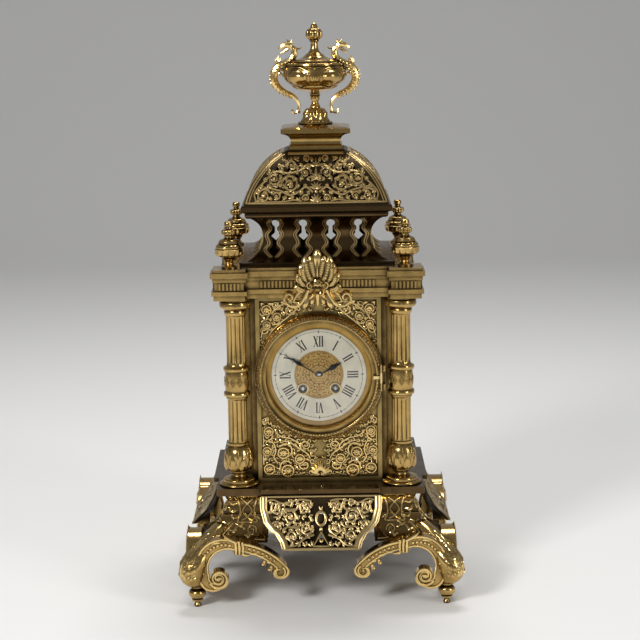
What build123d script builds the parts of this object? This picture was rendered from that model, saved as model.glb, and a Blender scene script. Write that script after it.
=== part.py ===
"""A gilt brass bracket clock in the Renaissance taste: square four-column case on scroll legs, pierced gallery and
dome, covered urn, and a round eight-day French movement behind a silvered dial. Millimetres, +Z up, front towards -Y,
origin on the floor under the middle of the case."""
from build123d import *
from math import atan2, cos, degrees, hypot, pi, radians, sin
import os

os.makedirs("parts", exist_ok=True)

# Case layout
FOOT_AT = 121.0          # toupie foot from the middle, in X and in Y
FOOT_HIGH = 21.2         # height of a toupie foot
LEG_FACE = 9.0           # a leg's scroll stands this far in front of its foot's axis
LEG_THICK = 13.0         # thickness of a leg's scroll bracket
BASE_TOP = 104.0         # top of the flared base
BASE_LOW = 62.0          # lowest edge of the flared base
BASE_WALL = 3.0
PLATE_HALF = 101.0       # half width of the plate over the base
PLATE_HIGH = 7.0
PLATE_TOP = BASE_TOP + PLATE_HIGH
WELL = 96.0              # square way from the case down into the base
CASE_TOP = 296.0         # underside of the entablature
CASE_HALF = 66.0         # half width of the inner case box
CASE_WALL = 2.5
PANEL_HALF = 61.0        # half width of a cast panel
PANEL_THICK = 9.0
COLUMN_AT = 80.0
COLUMN_BASE_R = 18.3     # clears the corner of the case behind it
ENTAB_TOP = 326.0
CORNICE_HALF = 91.0      # half width of the cornice between its corner blocks
CREST_THICK = 9.0
FINIAL_AT = 84.5
GALLERY_LOW = 329.0
GALLERY_TOP = 371.0
GALLERY_WALL = 2.5
DOME_LOW = 384.0
DOME_TOP = 433.5
DOME_WALL = 2.5
DOME_FOOT = 70.0         # half width of the dome at its foot
DOME_HEAD = 28.0         # half width of the dome at its head
PLINTH_TOP = 457.0
FIT = 0.3                # running gap between pieces that move past each other

# Dial and bezel
DIAL_Z = 216.5
PANEL_FACE = CASE_HALF + PANEL_THICK     # distance of a cast panel's face from the middle
CHAPTER_BORE = 24.0
SEAT_R = 56.0            # recess of the ornamental ring that the bezel closes into
RING_R = SEAT_R + 6.0    # ornamental ring round the bezel
SLEEVE_R = SEAT_R - 4.0
BEZEL_R = SEAT_R - 0.7
DIAL_BACK = CASE_HALF - 1.5      # distance of the dial plate's back from the middle
DIAL_PLATE_THICK = 1.5
CHAPTER_THICK = 1.2
GLASS_R = BEZEL_R - 7.8
CHAPTER_R = GLASS_R - 2.0
HINGE_X = BEZEL_R + 5.2
SIGHT_RING_AT = 71.9     # back edge of the bezel's inner ring, just ahead of the minute hand
HOUR_ANGLE = 61.5        # clockwise from twelve
MINUTE_ANGLE = 302.0

# Movement
PLATE_R = 44.0
FRONT_PLATE_Y = -56.0    # front face of the front plate
BACK_PLATE_Y = -16.0     # front face of the back plate
MOVEMENT_PLATE = 2.5
WINDER_X = 16.0
WINDER_DROP = 13.6
WINDER_R = 2.2
PIVOT_GAP = 0.05
GREAT_TEETH, CENTRE_PINION, GREAT_MODULE = 72, 12, 0.5
CENTRE_TEETH, THIRD_PINION, CENTRE_MODULE = 84, 12, 0.375
THIRD_TEETH, ESCAPE_PINION, THIRD_MODULE = 80, 10, 0.33
CANNON_TEETH, MINUTE_TEETH, CANNON_MODULE = 12, 36, 0.45
MINUTE_PINION, HOUR_TEETH = 10, 40
STRIKE_PINION = 12
HOUR_MODULE = CANNON_MODULE * (CANNON_TEETH + MINUTE_TEETH) / (MINUTE_PINION + HOUR_TEETH)
THIRD_DIRECTION = 135.0  # from the centre arbor, anticlockwise seen from the front
BARREL_R = 13.0
GREAT_WHEEL_THICK = 2.0


def save(shape, node):
    """Writes one node's solids."""
    export_step(shape, f"parts/{node}.step")


def outline(rows):
    """A closed face from (u, v) points; a row of four, (u, v, um, vm), is reached by an arc through (um, vm)."""
    edges = []
    for here, there in zip(rows, rows[1:] + rows[:1]):
        start, end = (here[0], here[1]), (there[0], there[1])
        if len(there) == 4:
            edges.append(ThreePointArc(start, (there[2], there[3]), end))
        else:
            edges.append(Line(start, end))
    return make_face(edges)


def turned(rows, turn=360):
    """A solid turned about Z from an outline of (radius, height) rows."""
    return revolve(Plane.XZ * outline(rows), Axis.Z, turn)


def at_front(shape, x, y, z):
    """Places a shape made on the XY plane so that its local Z faces forwards, towards -Y."""
    return Pos(x, y, z) * Rot(90, 0, 0) * shape


def upright(face, y_front, y_back):
    """Extrudes a face drawn in (X, Z) from y_front to y_back."""
    return extrude(Plane.XZ.offset(-y_back) * face, y_back - y_front)


def four_ways(shape):
    return [Rot(0, 0, 90 * i) * shape for i in range(4)]


def mirrored(shape):
    return mirror(shape, about=Plane.YZ)


def square_hood(rows):
    """A four-sided hood: the outline in (X, Z), extruded both ways and intersected with itself a quarter turn on."""
    reach = 2 * max(abs(row[0]) for row in rows)
    prism = extrude(Plane.XZ * outline(rows), reach, both=True)
    return prism & (Rot(0, 0, 90) * prism)


def both_sides(rows):
    """Closes a right-hand edge, listed from the bottom up, with its mirror image."""
    mirrored_rows = []
    previous_mid = None
    for row in reversed(rows):
        point = (-row[0], row[1])
        if previous_mid:
            point += (-previous_mid[0], previous_mid[1])
        mirrored_rows.append(point)
        previous_mid = (row[2], row[3]) if len(row) == 4 else None
    return rows + mirrored_rows


# Feet and legs

def toupie_foot():
    """Turned peg foot: a lobed bulb between two small collars."""
    return turned([(0, 0), (2.6, 0), (3.4, 2.2, 3.4, 1.0), (2.2, 4.4), (5.4, 6.2), (5.4, 7.6), (3.2, 8.6),
                   (8.3, 13.4, 7.2, 10.2), (4.6, 17.6, 7.4, 16.4), (6.0, 19.2), (6.0, FOOT_HIGH), (0, FOOT_HIGH)])


def crescent(outer, inner):
    """A tapered band between two three-point arcs, drawn in (u, z)."""
    a, b, c = outer
    d, e, f = inner
    return make_face([ThreePointArc(a, b, c), Line(c, f), ThreePointArc(f, e, d), Line(d, a)])


def leg_bracket():
    """One face of a scroll leg, in (X, Z): u runs from the foot's axis towards the middle of the clock."""
    great_scroll = crescent([(41, 66), (4, 58), (2, 32)], [(41, 57), (13, 52), (11.5, 33)])
    lower_turn = crescent([(2, 33), (9, 18.5), (24, 20)], [(11.5, 34), (13.5, 26), (20, 26)])
    hook = crescent([(23.5, 20), (31, 29), (24, 36)], [(20, 25), (24.5, 29), (22, 32)])
    tie = Pos(42, 60) * Circle(6.8)
    inner_scroll = crescent([(40, 65), (66, 59), (87, 42)], [(40, 57), (63, 51), (80, 38)])
    small_volute = Pos(81, 36) * Circle(6.6)
    return great_scroll + lower_turn + hook + tie + inner_scroll + small_volute + Pos(22.5, 29) * Circle(3.6)


def scroll_leg():
    """The front right leg: two scroll brackets at right angles and a leafy shoulder over the foot."""
    face_at = FOOT_AT + LEG_FACE
    bracket = upright(mirrored(Pos(-FOOT_AT, 0, 0) * leg_bracket()), -face_at, -face_at + LEG_THICK)
    side = mirror(bracket, about=Plane((0, 0, 0), x_dir=(0, 0, 1), z_dir=(1, 1, 0)))
    shoulder = [(FOOT_HIGH, 123.0, 6.2), (33.0, 125.5, 12.0), (46.0, 122.5, 13.5), (58.0, 114.5, 12.5),
                (68.0, 105.0, 9.5), (76.0, 96.0, 6.0)]
    rings = [Pos(at, -at, z) * Circle(r) for z, at, r in shoulder]
    return bracket + side + loft(rings) - base_hood()


# Base

def base_hood():
    """Outside of the flared base, filled."""
    return square_hood(both_sides([(118, BASE_LOW), (96, 84, 102, 70), (95, BASE_TOP, 91, 95)]))


def flared_base():
    """The hollow flared base: concave on all four sides, cut away below between its corner arms."""
    inner = both_sides([(112, BASE_LOW - 1), (92, 84, 97, 70), (91, BASE_TOP - BASE_WALL, 87, 95)])
    shell = base_hood() - square_hood(inner)
    apron_gap = upright(Pos(0, 76) * Rectangle(104, 44), -150, 150)
    well = Pos(0, 0, BASE_TOP) * Box(WELL, WELL, 4 * BASE_WALL)
    return shell - apron_gap - Rot(0, 0, 90) * apron_gap - well


def apron():
    """Front apron: a bowed pierced panel that hangs forward of the base between its arms."""
    profile = Plane.YZ * outline([(-102.5, BASE_TOP), (-130, 58, -110, 76), (-127, 58), (-99.5, BASE_TOP, -107, 77)])
    sheet = extrude(profile, 70, both=True)
    shape = outline(both_sides([(37, 57), (44, 72, 38.5, 64), (58, 92, 54, 80), (58, BASE_TOP)]))
    panel = sheet & upright(shape, -140, -80)
    holes = []
    for x, z, r in [(14, 95, 3.2), (14, 72, 3.0), (26, 84, 4.0), (38, 95, 3.4), (26, 67, 2.8), (24, 99, 2.0), (46, 86, 2.8)]:
        holes += [Pos(x, z) * Circle(r), Pos(-x, z) * Circle(r)]
    holes += [Pos(0, 66) * RegularPolygon(3.6, 3), Pos(0, 84) * Ellipse(3.4, 4.6)]
    return panel - upright(Sketch() + holes, -140, -80)


def base_plate():
    """Stepped plate over the base, breaking forward over each apron, with a seat for each column."""
    plate = Pos(0, 0, BASE_TOP) * extrude(RectangleRounded(2 * PLATE_HALF, 2 * PLATE_HALF, 2), PLATE_HIGH)
    for reach in (0, 90):
        plate += Rot(0, 0, reach) * Pos(0, 0, BASE_TOP + 3.0) * Box(116, 2 * 106, PLATE_HIGH - 3.0,
                                                                align=(Align.CENTER, Align.CENTER, Align.MIN))
    return plate - Pos(0, 0, BASE_TOP) * Box(WELL, WELL, 4 * PLATE_HIGH)


# Columns

def column_base():
    r = COLUMN_BASE_R
    return turned([(0, 0), (r, 0), (r, 2.4, r + 1, 1.2), (r - 3, 3.4), (r - 3, 4.6), (r - 5.5, 6.4, r - 3.6, 6.2), (9, 7.4),
                   (7.4, 12.0, 7.0, 9.5), (9.6, 14.0), (0, 14.0)])


def lower_shaft(low, high):
    """Leafy bulb, then a reeded shaft."""
    shaft = turned([(0, low), (7.0, low), (13.6, low + 10, 12.4, low + 3.0), (9.6, low + 25, 13.2, low + 19), (10.4, low + 27),
                    (9.4, low + 29), (9.4, high), (0, high)])
    return fluted(shaft, low + 31, high - 2)


def fluted(shaft, low, high):
    """Cuts twelve round-bottomed flutes between two heights."""
    flute = Pos(9.9, 0, low) * Cylinder(1.5, high - low, align=(Align.CENTER, Align.CENTER, Align.MIN))
    return shaft - [Rot(0, 0, 30 * i) * flute for i in range(12)]


def knop(low, high):
    mid = (low + high) / 2
    return turned([(0, low), (11.6, low), (12.8, low + 2.6, 13.2, low + 1.3), (10.8, low + 5), (12.2, mid, 12.0, mid - 5),
                   (10.8, high - 5, 12.0, mid + 5), (12.8, high - 2.6), (11.6, high, 13.2, high - 1.3), (0, high)])


def capital(low, high):
    return turned([(0, low), (10.4, low), (11.0, low + 2.0), (10.2, low + 3.6), (15.0, low + 9.0, 14.6, low + 5.6),
                   (12.6, low + 12.0, 14.6, low + 11.4), (14.0, low + 14.0), (14.0, high), (0, high)])


def column():
    """Five separate turnings, threaded on one rod, that bear on each other end to end."""
    base_high, knop_low, knop_high, cap_low = PLATE_TOP + 14, 199.5, 229.0, 281.5
    upper = turned([(0, knop_high), (9.4, knop_high), (9.4, cap_low), (0, cap_low)])
    pieces = [Pos(0, 0, PLATE_TOP) * column_base(), lower_shaft(base_high, knop_low), knop(knop_low, knop_high),
              fluted(upper, knop_high + 2, cap_low - 2), capital(cap_low, CASE_TOP)]
    return [Pos(COLUMN_AT, -COLUMN_AT, 0) * piece for piece in pieces]


def corner_finial():
    rows = [(0, 0), (7.0, 0), (7.0, 1.6), (4.6, 3.0), (4.6, 8.0, 4.0, 5.5), (6.4, 10.4), (13.8, 17.4, 12.0, 12.6),
            (9.6, 21.4, 12.8, 20.0), (10.0, 23.2), (7.4, 26.0, 9.4, 25.4), (4.4, 28.0), (4.4, 33.0), (6.8, 35.0, 6.4, 33.4),
            (4.2, 37.8, 6.2, 37.2), (2.8, 39.4), (0.8, 45.0, 3.9, 42.4), (0, 45.0)]
    return Pos(FINIAL_AT, -FINIAL_AT, ENTAB_TOP) * turned(rows)


# Case

def case_box():
    """Inner box of the case in four butted plates, open above and below, with a round opening in front and behind."""
    height, mid = CASE_TOP - PLATE_TOP, (PLATE_TOP + CASE_TOP) / 2
    hole = Pos(0, 0, DIAL_Z) * Rot(90, 0, 0) * Cylinder(SLEEVE_R + 1.5, 3 * CASE_HALF)
    front = Pos(0, -CASE_HALF + CASE_WALL / 2, mid) * Box(2 * CASE_HALF, CASE_WALL, height) - hole
    side = Pos(CASE_HALF - CASE_WALL / 2, 0, mid) * Box(CASE_WALL, 2 * (CASE_HALF - CASE_WALL), height)
    return [front, side, Rot(0, 0, 180) * front, Rot(0, 0, 180) * side]


def cast_panel(opening):
    """A panel applied to one face of the case: raised border, sunk field, and raised bosses for its scrollwork."""
    mid, high = (PLATE_TOP + CASE_TOP) / 2, CASE_TOP - PLATE_TOP
    slab = upright(Pos(0, mid) * Rectangle(2 * PANEL_HALF, high), -PANEL_FACE, -CASE_HALF)
    field = upright(Pos(0, mid) * Rectangle(2 * PANEL_HALF - 8, high - 8), -PANEL_FACE, -PANEL_FACE + 2.4)
    bosses = []
    for x, z, r in [(50, 283, 4.6), (50, 268, 3.6), (40, 276, 4.0), (50, 162, 4.4), (50, 124, 5.2), (32, 122, 6.0),
                    (36, 140, 5.4), (20, 134, 4.6), (52, 142, 4.2)]:
        bosses += [Pos(x, z) * Circle(r), Pos(-x, z) * Circle(r)]
    bosses.append(Pos(0, 125.5) * RegularPolygon(9, 8))
    relief = upright(Sketch() + bosses, -PANEL_FACE - 0.6, -PANEL_FACE + 4.0)
    panel = slab - field + relief
    if opening:
        panel -= Pos(0, 0, DIAL_Z) * Rot(90, 0, 0) * Cylinder(SLEEVE_R + 1.5, 3 * CASE_HALF)
    return panel


def entablature():
    """Architrave, dentilled frieze and cornice, breaking forward over each column."""
    courses = [(CASE_TOP, 5.0, 86.0, 15.0), (CASE_TOP + 5.0, 4.0, 88.0, 17.0), (CASE_TOP + 9.0, 9.0, 84.5, 14.0),
               (CASE_TOP + 18.0, 4.0, 87.5, 16.0), (CASE_TOP + 22.0, 5.0, CORNICE_HALF, 18.0), (CASE_TOP + 27.0, 3.0, 89.0, 16.0)]
    solid = None
    for low, high, half, block in courses:
        course = Box(2 * half, 2 * half, high, align=(Align.CENTER, Align.CENTER, Align.MIN))
        corner = Box(2 * block, 2 * block, high, align=(Align.CENTER, Align.CENTER, Align.MIN))
        course += [Pos(sx * FINIAL_AT, sy * FINIAL_AT, 0) * corner for sx in (-1, 1) for sy in (-1, 1)]
        solid = Pos(0, 0, low) * course if solid is None else solid + Pos(0, 0, low) * course
    well = Box(116, 116, 5 * 40)
    return solid - Pos(0, 0, CASE_TOP) * well


def dentils():
    """One side's run of dentils: a short group on each corner block and a long one between."""
    tooth_high, tooth_wide, pitch, proud = 6.6, 1.9, 3.6, 1.6
    low = CASE_TOP + 10.2
    runs = [(0, 31, 84.5), (-FINIAL_AT, 6, FINIAL_AT + 14.0), (FINIAL_AT, 6, FINIAL_AT + 14.0)]
    teeth = []
    for middle, count, face in runs:
        for i in range(count):
            x = middle + (i - (count - 1) / 2) * pitch
            teeth.append(Pos(x, -face - proud / 2, low) * Box(tooth_wide, proud, tooth_high,
                                                          align=(Align.CENTER, Align.CENTER, Align.MIN)))
    return teeth


# Gallery, dome and urn

def gallery():
    """Concave square gallery, pierced on each side with four slots between wavy balusters."""
    outer = [(73, GALLERY_LOW), (65, GALLERY_TOP, 52.0, 352.0)]
    inner = [(73 - GALLERY_WALL, GALLERY_LOW), (65 - GALLERY_WALL, GALLERY_TOP, 52.0 - GALLERY_WALL, 352.0)]
    solid = square_hood(both_sides(outer)) - square_hood(both_sides(inner))
    foot = Pos(0, 0, ENTAB_TOP) * (Box(150, 150, GALLERY_LOW - ENTAB_TOP, align=(Align.CENTER, Align.CENTER, Align.MIN))
                                   - Box(130, 130, 20))
    slots = []
    for x in (-40.5, -13.5, 13.5, 40.5):
        lean = x / 13.5 * 0.6
        slots += [Pos(x, 364.5) * Circle(4.2), Pos(x, 359) * Rectangle(4.0, 10), Pos(x + lean / 2, 353.5) * Circle(5.2),
                  Pos(x + lean / 2, 346) * Rectangle(4.2, 14), Pos(x + lean, 338.5) * Rot(0, 0, 45) * Rectangle(7.6, 7.6)]
    cut = upright(Sketch() + slots, -90, 90)
    return solid - cut - Rot(0, 0, 90) * cut + foot


def dome_plate():
    """Square moulded plate between gallery and dome."""
    rows = [(65.5, GALLERY_TOP), (69, 376, 69, 372.6), (73, 378.0), (73, 382.0), (71.5, DOME_LOW)]
    return square_hood(both_sides(rows)) - Pos(0, 0, GALLERY_TOP) * Box(110, 110, 40)


def dome():
    """Four-sided dome, pierced on each face inside a plain rim."""
    outer = [(DOME_FOOT, DOME_LOW), (DOME_HEAD, DOME_TOP, 55.6, 413.0)]
    inner = [(DOME_FOOT - DOME_WALL, DOME_LOW), (DOME_HEAD - DOME_WALL, DOME_TOP - DOME_WALL, 55.6 - 2.2, 411.3)]
    solid = square_hood(both_sides(outer)) - square_hood(both_sides(inner))
    holes = []
    for z, xs, r in [(391, (6.5, 19.5, 32.5, 45.5, 57), 3.4), (400, (13, 26, 39, 50.5), 3.2), (409, (6.5, 19.5, 32.5, 43), 2.8),
                     (417, (13, 25.5, 36), 2.4), (424, (6.5, 18.5, 29), 2.0)]:
        for x in xs:
            holes += [Pos(x, z) * Circle(r), Pos(-x, z) * Circle(r)]
    cut = upright(Sketch() + holes, -90, 90)
    return solid - cut - Rot(0, 0, 90) * cut


def urn_plinth():
    rows = [(26.5, DOME_TOP), (26.5, 437.0), (24.5, 439.0), (31.5, 449.0, 26.0, 446.0), (34.0, 450.0), (34.0, 454.0),
            (30.0, 455.2), (17.5, PLINTH_TOP)]
    return square_hood(both_sides(rows))


def urn_foot():
    return Pos(0, 0, PLINTH_TOP) * turned([(0, 0), (16.8, 0), (16.8, 2.4, 17.8, 1.2), (12.6, 6.0), (12.2, 9.0),
                                           (5.4, 17.0, 10.6, 15.6), (3.4, 21.0), (3.2, 25.0), (5.2, 27.0), (3.6, 29.0), (0, 29.0)])


URN_FOOT_TOP = PLINTH_TOP + 29.0


def urn_bowl():
    rows = [(0, 0), (5.0, 0), (7.0, 2.0), (22.0, 7.6, 15.0, 3.4), (23.6, 9.0), (31.0, 17.0, 29.6, 12.0), (30.0, 26.0, 31.4, 22.0),
            (25.5, 31.6, 28.6, 29.4), (0, 31.6)]
    return Pos(0, 0, URN_FOOT_TOP) * turned(rows)


URN_RIM = URN_FOOT_TOP + 31.6


def urn_lid():
    """Concave lid with its lobed knob and tip."""
    rows = [(0, 0), (23.4, 0), (23.4, 1.6), (19.0, 2.8), (3.6, 17.4, 7.0, 8.2), (3.6, 20.6), (5.0, 22.0), (8.6, 27.4, 7.8, 23.6),
            (4.4, 33.0, 8.0, 31.4), (3.2, 34.4), (0.8, 39.2, 3.4, 37.4), (0, 39.2)]
    return Pos(0, 0, URN_RIM) * turned(rows)


def urn_handle():
    """Right-hand handle: a winged serpent, head above the rim and curled tail by the foot."""
    sections = [(29.5, 537.0, 1.8), (24.5, 532.0, 3.0), (27.0, 524.5, 3.2), (34.5, 517.5, 3.6), (39.0, 508.0, 4.0), (38.0, 498.0, 3.6),
                (29.0, 489.0, 3.0), (19.0, 483.0, 2.2), (14.6, 474.0, 1.6), (17.2, 468.4, 1.2), (20.5, 470.4, 1.0)]
    path = Spline(*[(x, 0, z) for x, z, _ in sections])
    rings = []
    for i, (x, z, r) in enumerate(sections):
        t = path.param_at_point((x, 0, z))
        rings.append(Plane(origin=(x, 0, z), z_dir=path % t) * Circle(r))
    body = sweep(rings, path=path, multisection=True)
    pad = Pos(14.6, 0, 468.6) * Rot(0, 90, 0) * Cylinder(1.3, 6.0)
    return body + Pos(31.0, 0, 537.0) * Sphere(3.4) + pad - urn_foot()


def crest():
    """Acanthus crest over the dial: five lobes, a boss and two scrolls."""
    lobes = [Pos(0, 333) * Ellipse(7, 13), Pos(14, 325) * Rot(0, 0, -35) * Ellipse(8.5, 13),
             Pos(-14, 325) * Rot(0, 0, 35) * Ellipse(8.5, 13), Pos(16, 308) * Ellipse(9, 12), Pos(-16, 308) * Ellipse(9, 12),
             Pos(0, 312) * Ellipse(11, 11), Pos(12, 294) * Ellipse(4.5, 12), Pos(-12, 294) * Ellipse(4.5, 12),
             Pos(27, 298) * Circle(5.5), Pos(-27, 298) * Circle(5.5), Pos(20, 291) * Ellipse(10, 3), Pos(-20, 291) * Ellipse(10, 3)]
    return upright(Sketch() + lobes, -CORNICE_HALF - CREST_THICK, -CORNICE_HALF)


# Dial, bezel and hands

def dial_turned(rows):
    """A turning about the dial's axis from (radius, distance in front of the middle of the case) rows."""
    return Pos(0, 0, DIAL_Z) * Rot(90, 0, 0) * turned(rows)


def ornament_ring():
    """Fixed ring on the front panel, with the stepped seat and sleeve that the glazed bezel closes into."""
    face = PANEL_FACE
    return dial_turned([(SLEEVE_R, CASE_HALF), (SLEEVE_R, face + 4.5), (SEAT_R, face + 4.5), (SEAT_R, face + 9.0),
                        (RING_R - 3.0, face + 9.0, RING_R - 4.5, face + 9.4), (RING_R, face, RING_R + 0.5, face + 5.0), (SLEEVE_R + 1.5, face),
                        (SLEEVE_R + 1.5, CASE_HALF)])


def front_bezel():
    """Hinged bezel: moulded rim, inner sight ring, a pull and its knuckle."""
    back = PANEL_FACE + 4.5 + FIT
    sight = GLASS_R - 1.3
    rim = dial_turned([(sight, SIGHT_RING_AT), (sight + 1.4, SIGHT_RING_AT), (BEZEL_R - 4.7, back), (BEZEL_R, back),
                       (BEZEL_R, back + 4.0), (BEZEL_R - 4.3, back + 7.6, BEZEL_R - 1.1, back + 7.4),
                       (GLASS_R, back + 4.6), (GLASS_R, back + 1.4), (sight + 0.6, back + 1.4)])
    knuckle = Pos(HINGE_X, -(back + 7.6), DIAL_Z) * Cylinder(2.0, 12)
    leaf = Pos(HINGE_X - 5.5, -(back + 6.0), DIAL_Z) * Box(7.6, 2.0, 12)
    hole = Pos(HINGE_X, -(back + 7.6), DIAL_Z) * Cylinder(1.0 + PIVOT_GAP, 14)
    return rim + (knuckle + leaf - hole)


def bezel_glass():
    back = PANEL_FACE + 4.5 + FIT + 1.4
    return dial_turned([(0, back + 4.6), (GLASS_R, back), (GLASS_R, back + 1.4), (1.0, back + 6.4, GLASS_R / 2 + 0.75, back + 5.1), (0, back + 6.4)])


def front_hinge():
    """Pin and two fixed knuckles, on a plate at the side of the ornamental ring."""
    axis_y = -(PANEL_FACE + 4.5 + FIT + 7.6)
    pin = Pos(HINGE_X, axis_y, DIAL_Z) * Cylinder(1.0, 26)
    pieces = pin
    for side in (-1, 1):
        pieces += Pos(HINGE_X, axis_y, DIAL_Z + side * 9.2) * Cylinder(2.0, 5.6)
        pieces += Pos(HINGE_X + 2.2, (axis_y - PANEL_FACE) / 2, DIAL_Z + side * 9.2) * Box(3.2, -axis_y - PANEL_FACE, 5.6)
    return pieces - dial_turned([(0, 0), (RING_R + 0.9, 0), (RING_R + 0.9, 90), (0, 90)]) + pin


def dial_plate():
    low, high, edge = DIAL_BACK, DIAL_BACK + DIAL_PLATE_THICK, SLEEVE_R - 0.1
    plate = dial_turned([(3.4, low), (edge, low), (edge, high), (3.4, high)])
    foot_long = low + FRONT_PLATE_Y
    feet = [Pos(sx * 30, -low + foot_long / 2, DIAL_Z + sz * 22) * Rot(90, 0, 0) * Cylinder(1.6, foot_long)
            for sx in (-1, 1) for sz in (-1, 1)]
    return plate + feet - winder_holes(4.2)


def winder_holes(radius):
    """Round cutters through the dial at the two winding squares."""
    return [Pos(sx * WINDER_X, -70, DIAL_Z - WINDER_DROP) * Rot(90, 0, 0) * Cylinder(radius, 40) for sx in (-1, 1)]


def chapter_ring():
    """Silvered ring with the hours left bare, and a shallow step at its inner edge."""
    low = DIAL_BACK + DIAL_PLATE_THICK
    ring = dial_turned([(CHAPTER_BORE, low), (CHAPTER_R, low), (CHAPTER_R, low + CHAPTER_THICK),
                        (CHAPTER_BORE, low + CHAPTER_THICK)])
    return ring - winder_holes(4.2)


def dial_centre():
    low = DIAL_BACK + DIAL_PLATE_THICK
    disc = dial_turned([(3.4, low), (CHAPTER_BORE - 0.1, low), (CHAPTER_BORE - 0.1, low + 0.8), (3.4, low + 0.8)])
    return disc - winder_holes(4.2)


def hand_outline(length, pear_at, pear, eye):
    """A Breguet-like moon hand: hub, tapering shank, pierced pear and a fine tip, pointing along +V."""
    shank = Polygon((-1.3, 0), (1.3, 0), (0.55, pear_at - pear), (-0.55, pear_at - pear), align=None)
    swell = Pos(0, pear_at) * Ellipse(pear * 0.72, pear)
    tip = Polygon((-0.9, pear_at + pear * 0.6), (0.9, pear_at + pear * 0.6), (0.15, length), (-0.15, length), align=None)
    return shank + swell + tip + Circle(3.6) - Pos(0, pear_at + pear * 0.1) * Circle(eye)


def hand(face, angle, front, thick, bore):
    """A hand cut from a sheet, turned to its hour, with its back at the given distance in front of the middle."""
    plate = extrude(face - Circle(bore), thick)
    return at_front(Rot(0, 0, -angle) * plate, 0, -front, DIAL_Z)


HOUR_HAND_AT = DIAL_BACK + DIAL_PLATE_THICK + 2.3
MINUTE_HAND_AT = HOUR_HAND_AT + 2.0
HAND_THICK = 0.8
CANNON_R = 1.5
CANNON_WALL_R = 2.3


def spoked(teeth, module, thick, bore, spokes=5, phase=0.0, thin=0.4):
    """A toothed wheel with straight-flanked teeth, crossed out with spokes where it is large enough."""
    pitch_r = teeth * module / 2
    root, tip = pitch_r - 1.15 * module, pitch_r + 0.85 * module
    half_root, half_tip = thin * 1.2 * pi / teeth, thin * 0.5 * pi / teeth
    points = []
    for i in range(teeth):
        middle = radians(phase) + 2 * pi * i / teeth
        for r, a in ((root, -half_root), (tip, -half_tip), (tip, half_tip), (root, half_root)):
            points.append((r * cos(middle + a), r * sin(middle + a)))
    face = make_face(Polyline(*points, close=True))
    if pitch_r > 8 and spokes:
        rim, hub = root - 1.6, bore + 2.6
        window = Circle(rim) - Circle(hub)
        bars = [Rot(0, 0, 360 * i / spokes) * Pos((rim + hub) / 2, 0) * Rectangle(rim - hub + 4, 1.8) for i in range(spokes)]
        face -= window - bars
    return extrude(face - Circle(bore) if bore else face, thick)


def polar(distance, direction):
    return distance * cos(radians(direction)), distance * sin(radians(direction))


def hour_hand():
    return hand(hand_outline(25.0, 15.0, 4.2, 1.9), HOUR_ANGLE, HOUR_HAND_AT, HAND_THICK, CANNON_WALL_R + PIVOT_GAP)


def hour_wheel():
    """Hour wheel and the pipe that carries the hour hand."""
    wheel = spoked(HOUR_TEETH, HOUR_MODULE, 1.2, CANNON_WALL_R + PIVOT_GAP, spokes=0, phase=MINUTE_WORK_AT)
    pipe = Pos(0, 0, 1.2) * (Cylinder(3.1, HOUR_HAND_AT - HOUR_WHEEL_AT - 1.2, align=(Align.CENTER, Align.CENTER, Align.MIN))
                             - Cylinder(CANNON_WALL_R + PIVOT_GAP, 40))
    return at_front(wheel + pipe, 0, -HOUR_WHEEL_AT, DIAL_Z)


MINUTE_WORK_AT = 90.0
CANNON_WHEEL_AT = -FRONT_PLATE_Y + 0.8
HOUR_WHEEL_AT = CANNON_WHEEL_AT + 2.6
MINUTE_WORK_R = CANNON_MODULE * (CANNON_TEETH + MINUTE_TEETH) / 2


def cannon_pinion():
    """Cannon pinion and pipe that carry the minute hand, driven by the centre arbor."""
    pinion = spoked(CANNON_TEETH, CANNON_MODULE, 1.4, CANNON_R, phase=MINUTE_WORK_AT + 180 / CANNON_TEETH)
    length = MINUTE_HAND_AT + HAND_THICK - CANNON_WHEEL_AT
    pipe = Cylinder(CANNON_WALL_R, length - 1.4, align=(Align.CENTER, Align.CENTER, Align.MIN)) - Cylinder(CANNON_R, 60)
    return at_front(pinion + Pos(0, 0, 1.4) * pipe, 0, -CANNON_WHEEL_AT, DIAL_Z)


def minute_hand():
    return hand(hand_outline(44.0, 33.0, 3.6, 1.6), MINUTE_ANGLE, MINUTE_HAND_AT, HAND_THICK, CANNON_WALL_R)


def hand_nut():
    return dial_turned([(0, MINUTE_HAND_AT + HAND_THICK), (3.0, MINUTE_HAND_AT + HAND_THICK),
                        (3.2, MINUTE_HAND_AT + HAND_THICK + 1.0), (1.6, MINUTE_HAND_AT + HAND_THICK + 2.4, 2.8, MINUTE_HAND_AT + HAND_THICK + 2.2),
                        (0, MINUTE_HAND_AT + HAND_THICK + 2.4)])


def minute_work():
    """Minute wheel and pinion on their stud, between cannon pinion and hour wheel."""
    wheel = spoked(MINUTE_TEETH, CANNON_MODULE, 1.2, 0.8 + PIVOT_GAP, spokes=0, phase=MINUTE_WORK_AT + 180)
    pinion = spoked(MINUTE_PINION, HOUR_MODULE, 2.6, 0.8 + PIVOT_GAP, phase=MINUTE_WORK_AT + 180 + 180 / MINUTE_PINION)
    x, z = polar(MINUTE_WORK_R, MINUTE_WORK_AT)
    return at_front(wheel + Pos(0, 0, 1.2) * pinion, x, -CANNON_WHEEL_AT - 0.1, DIAL_Z + z)


# Movement: every arbor lies along Y between two round plates

def arbor(x, z, front, back, radius=1.0):
    """Arbor between the plates with a fine pivot at each end."""
    body = Pos(x, (front + back) / 2, DIAL_Z + z) * Rot(90, 0, 0) * Cylinder(radius, back - front)
    pivots = Pos(x, (front + back) / 2, DIAL_Z + z) * Rot(90, 0, 0) * Cylinder(PIVOT_R, back - front + 2 * MOVEMENT_PLATE)
    return body + pivots


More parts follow.
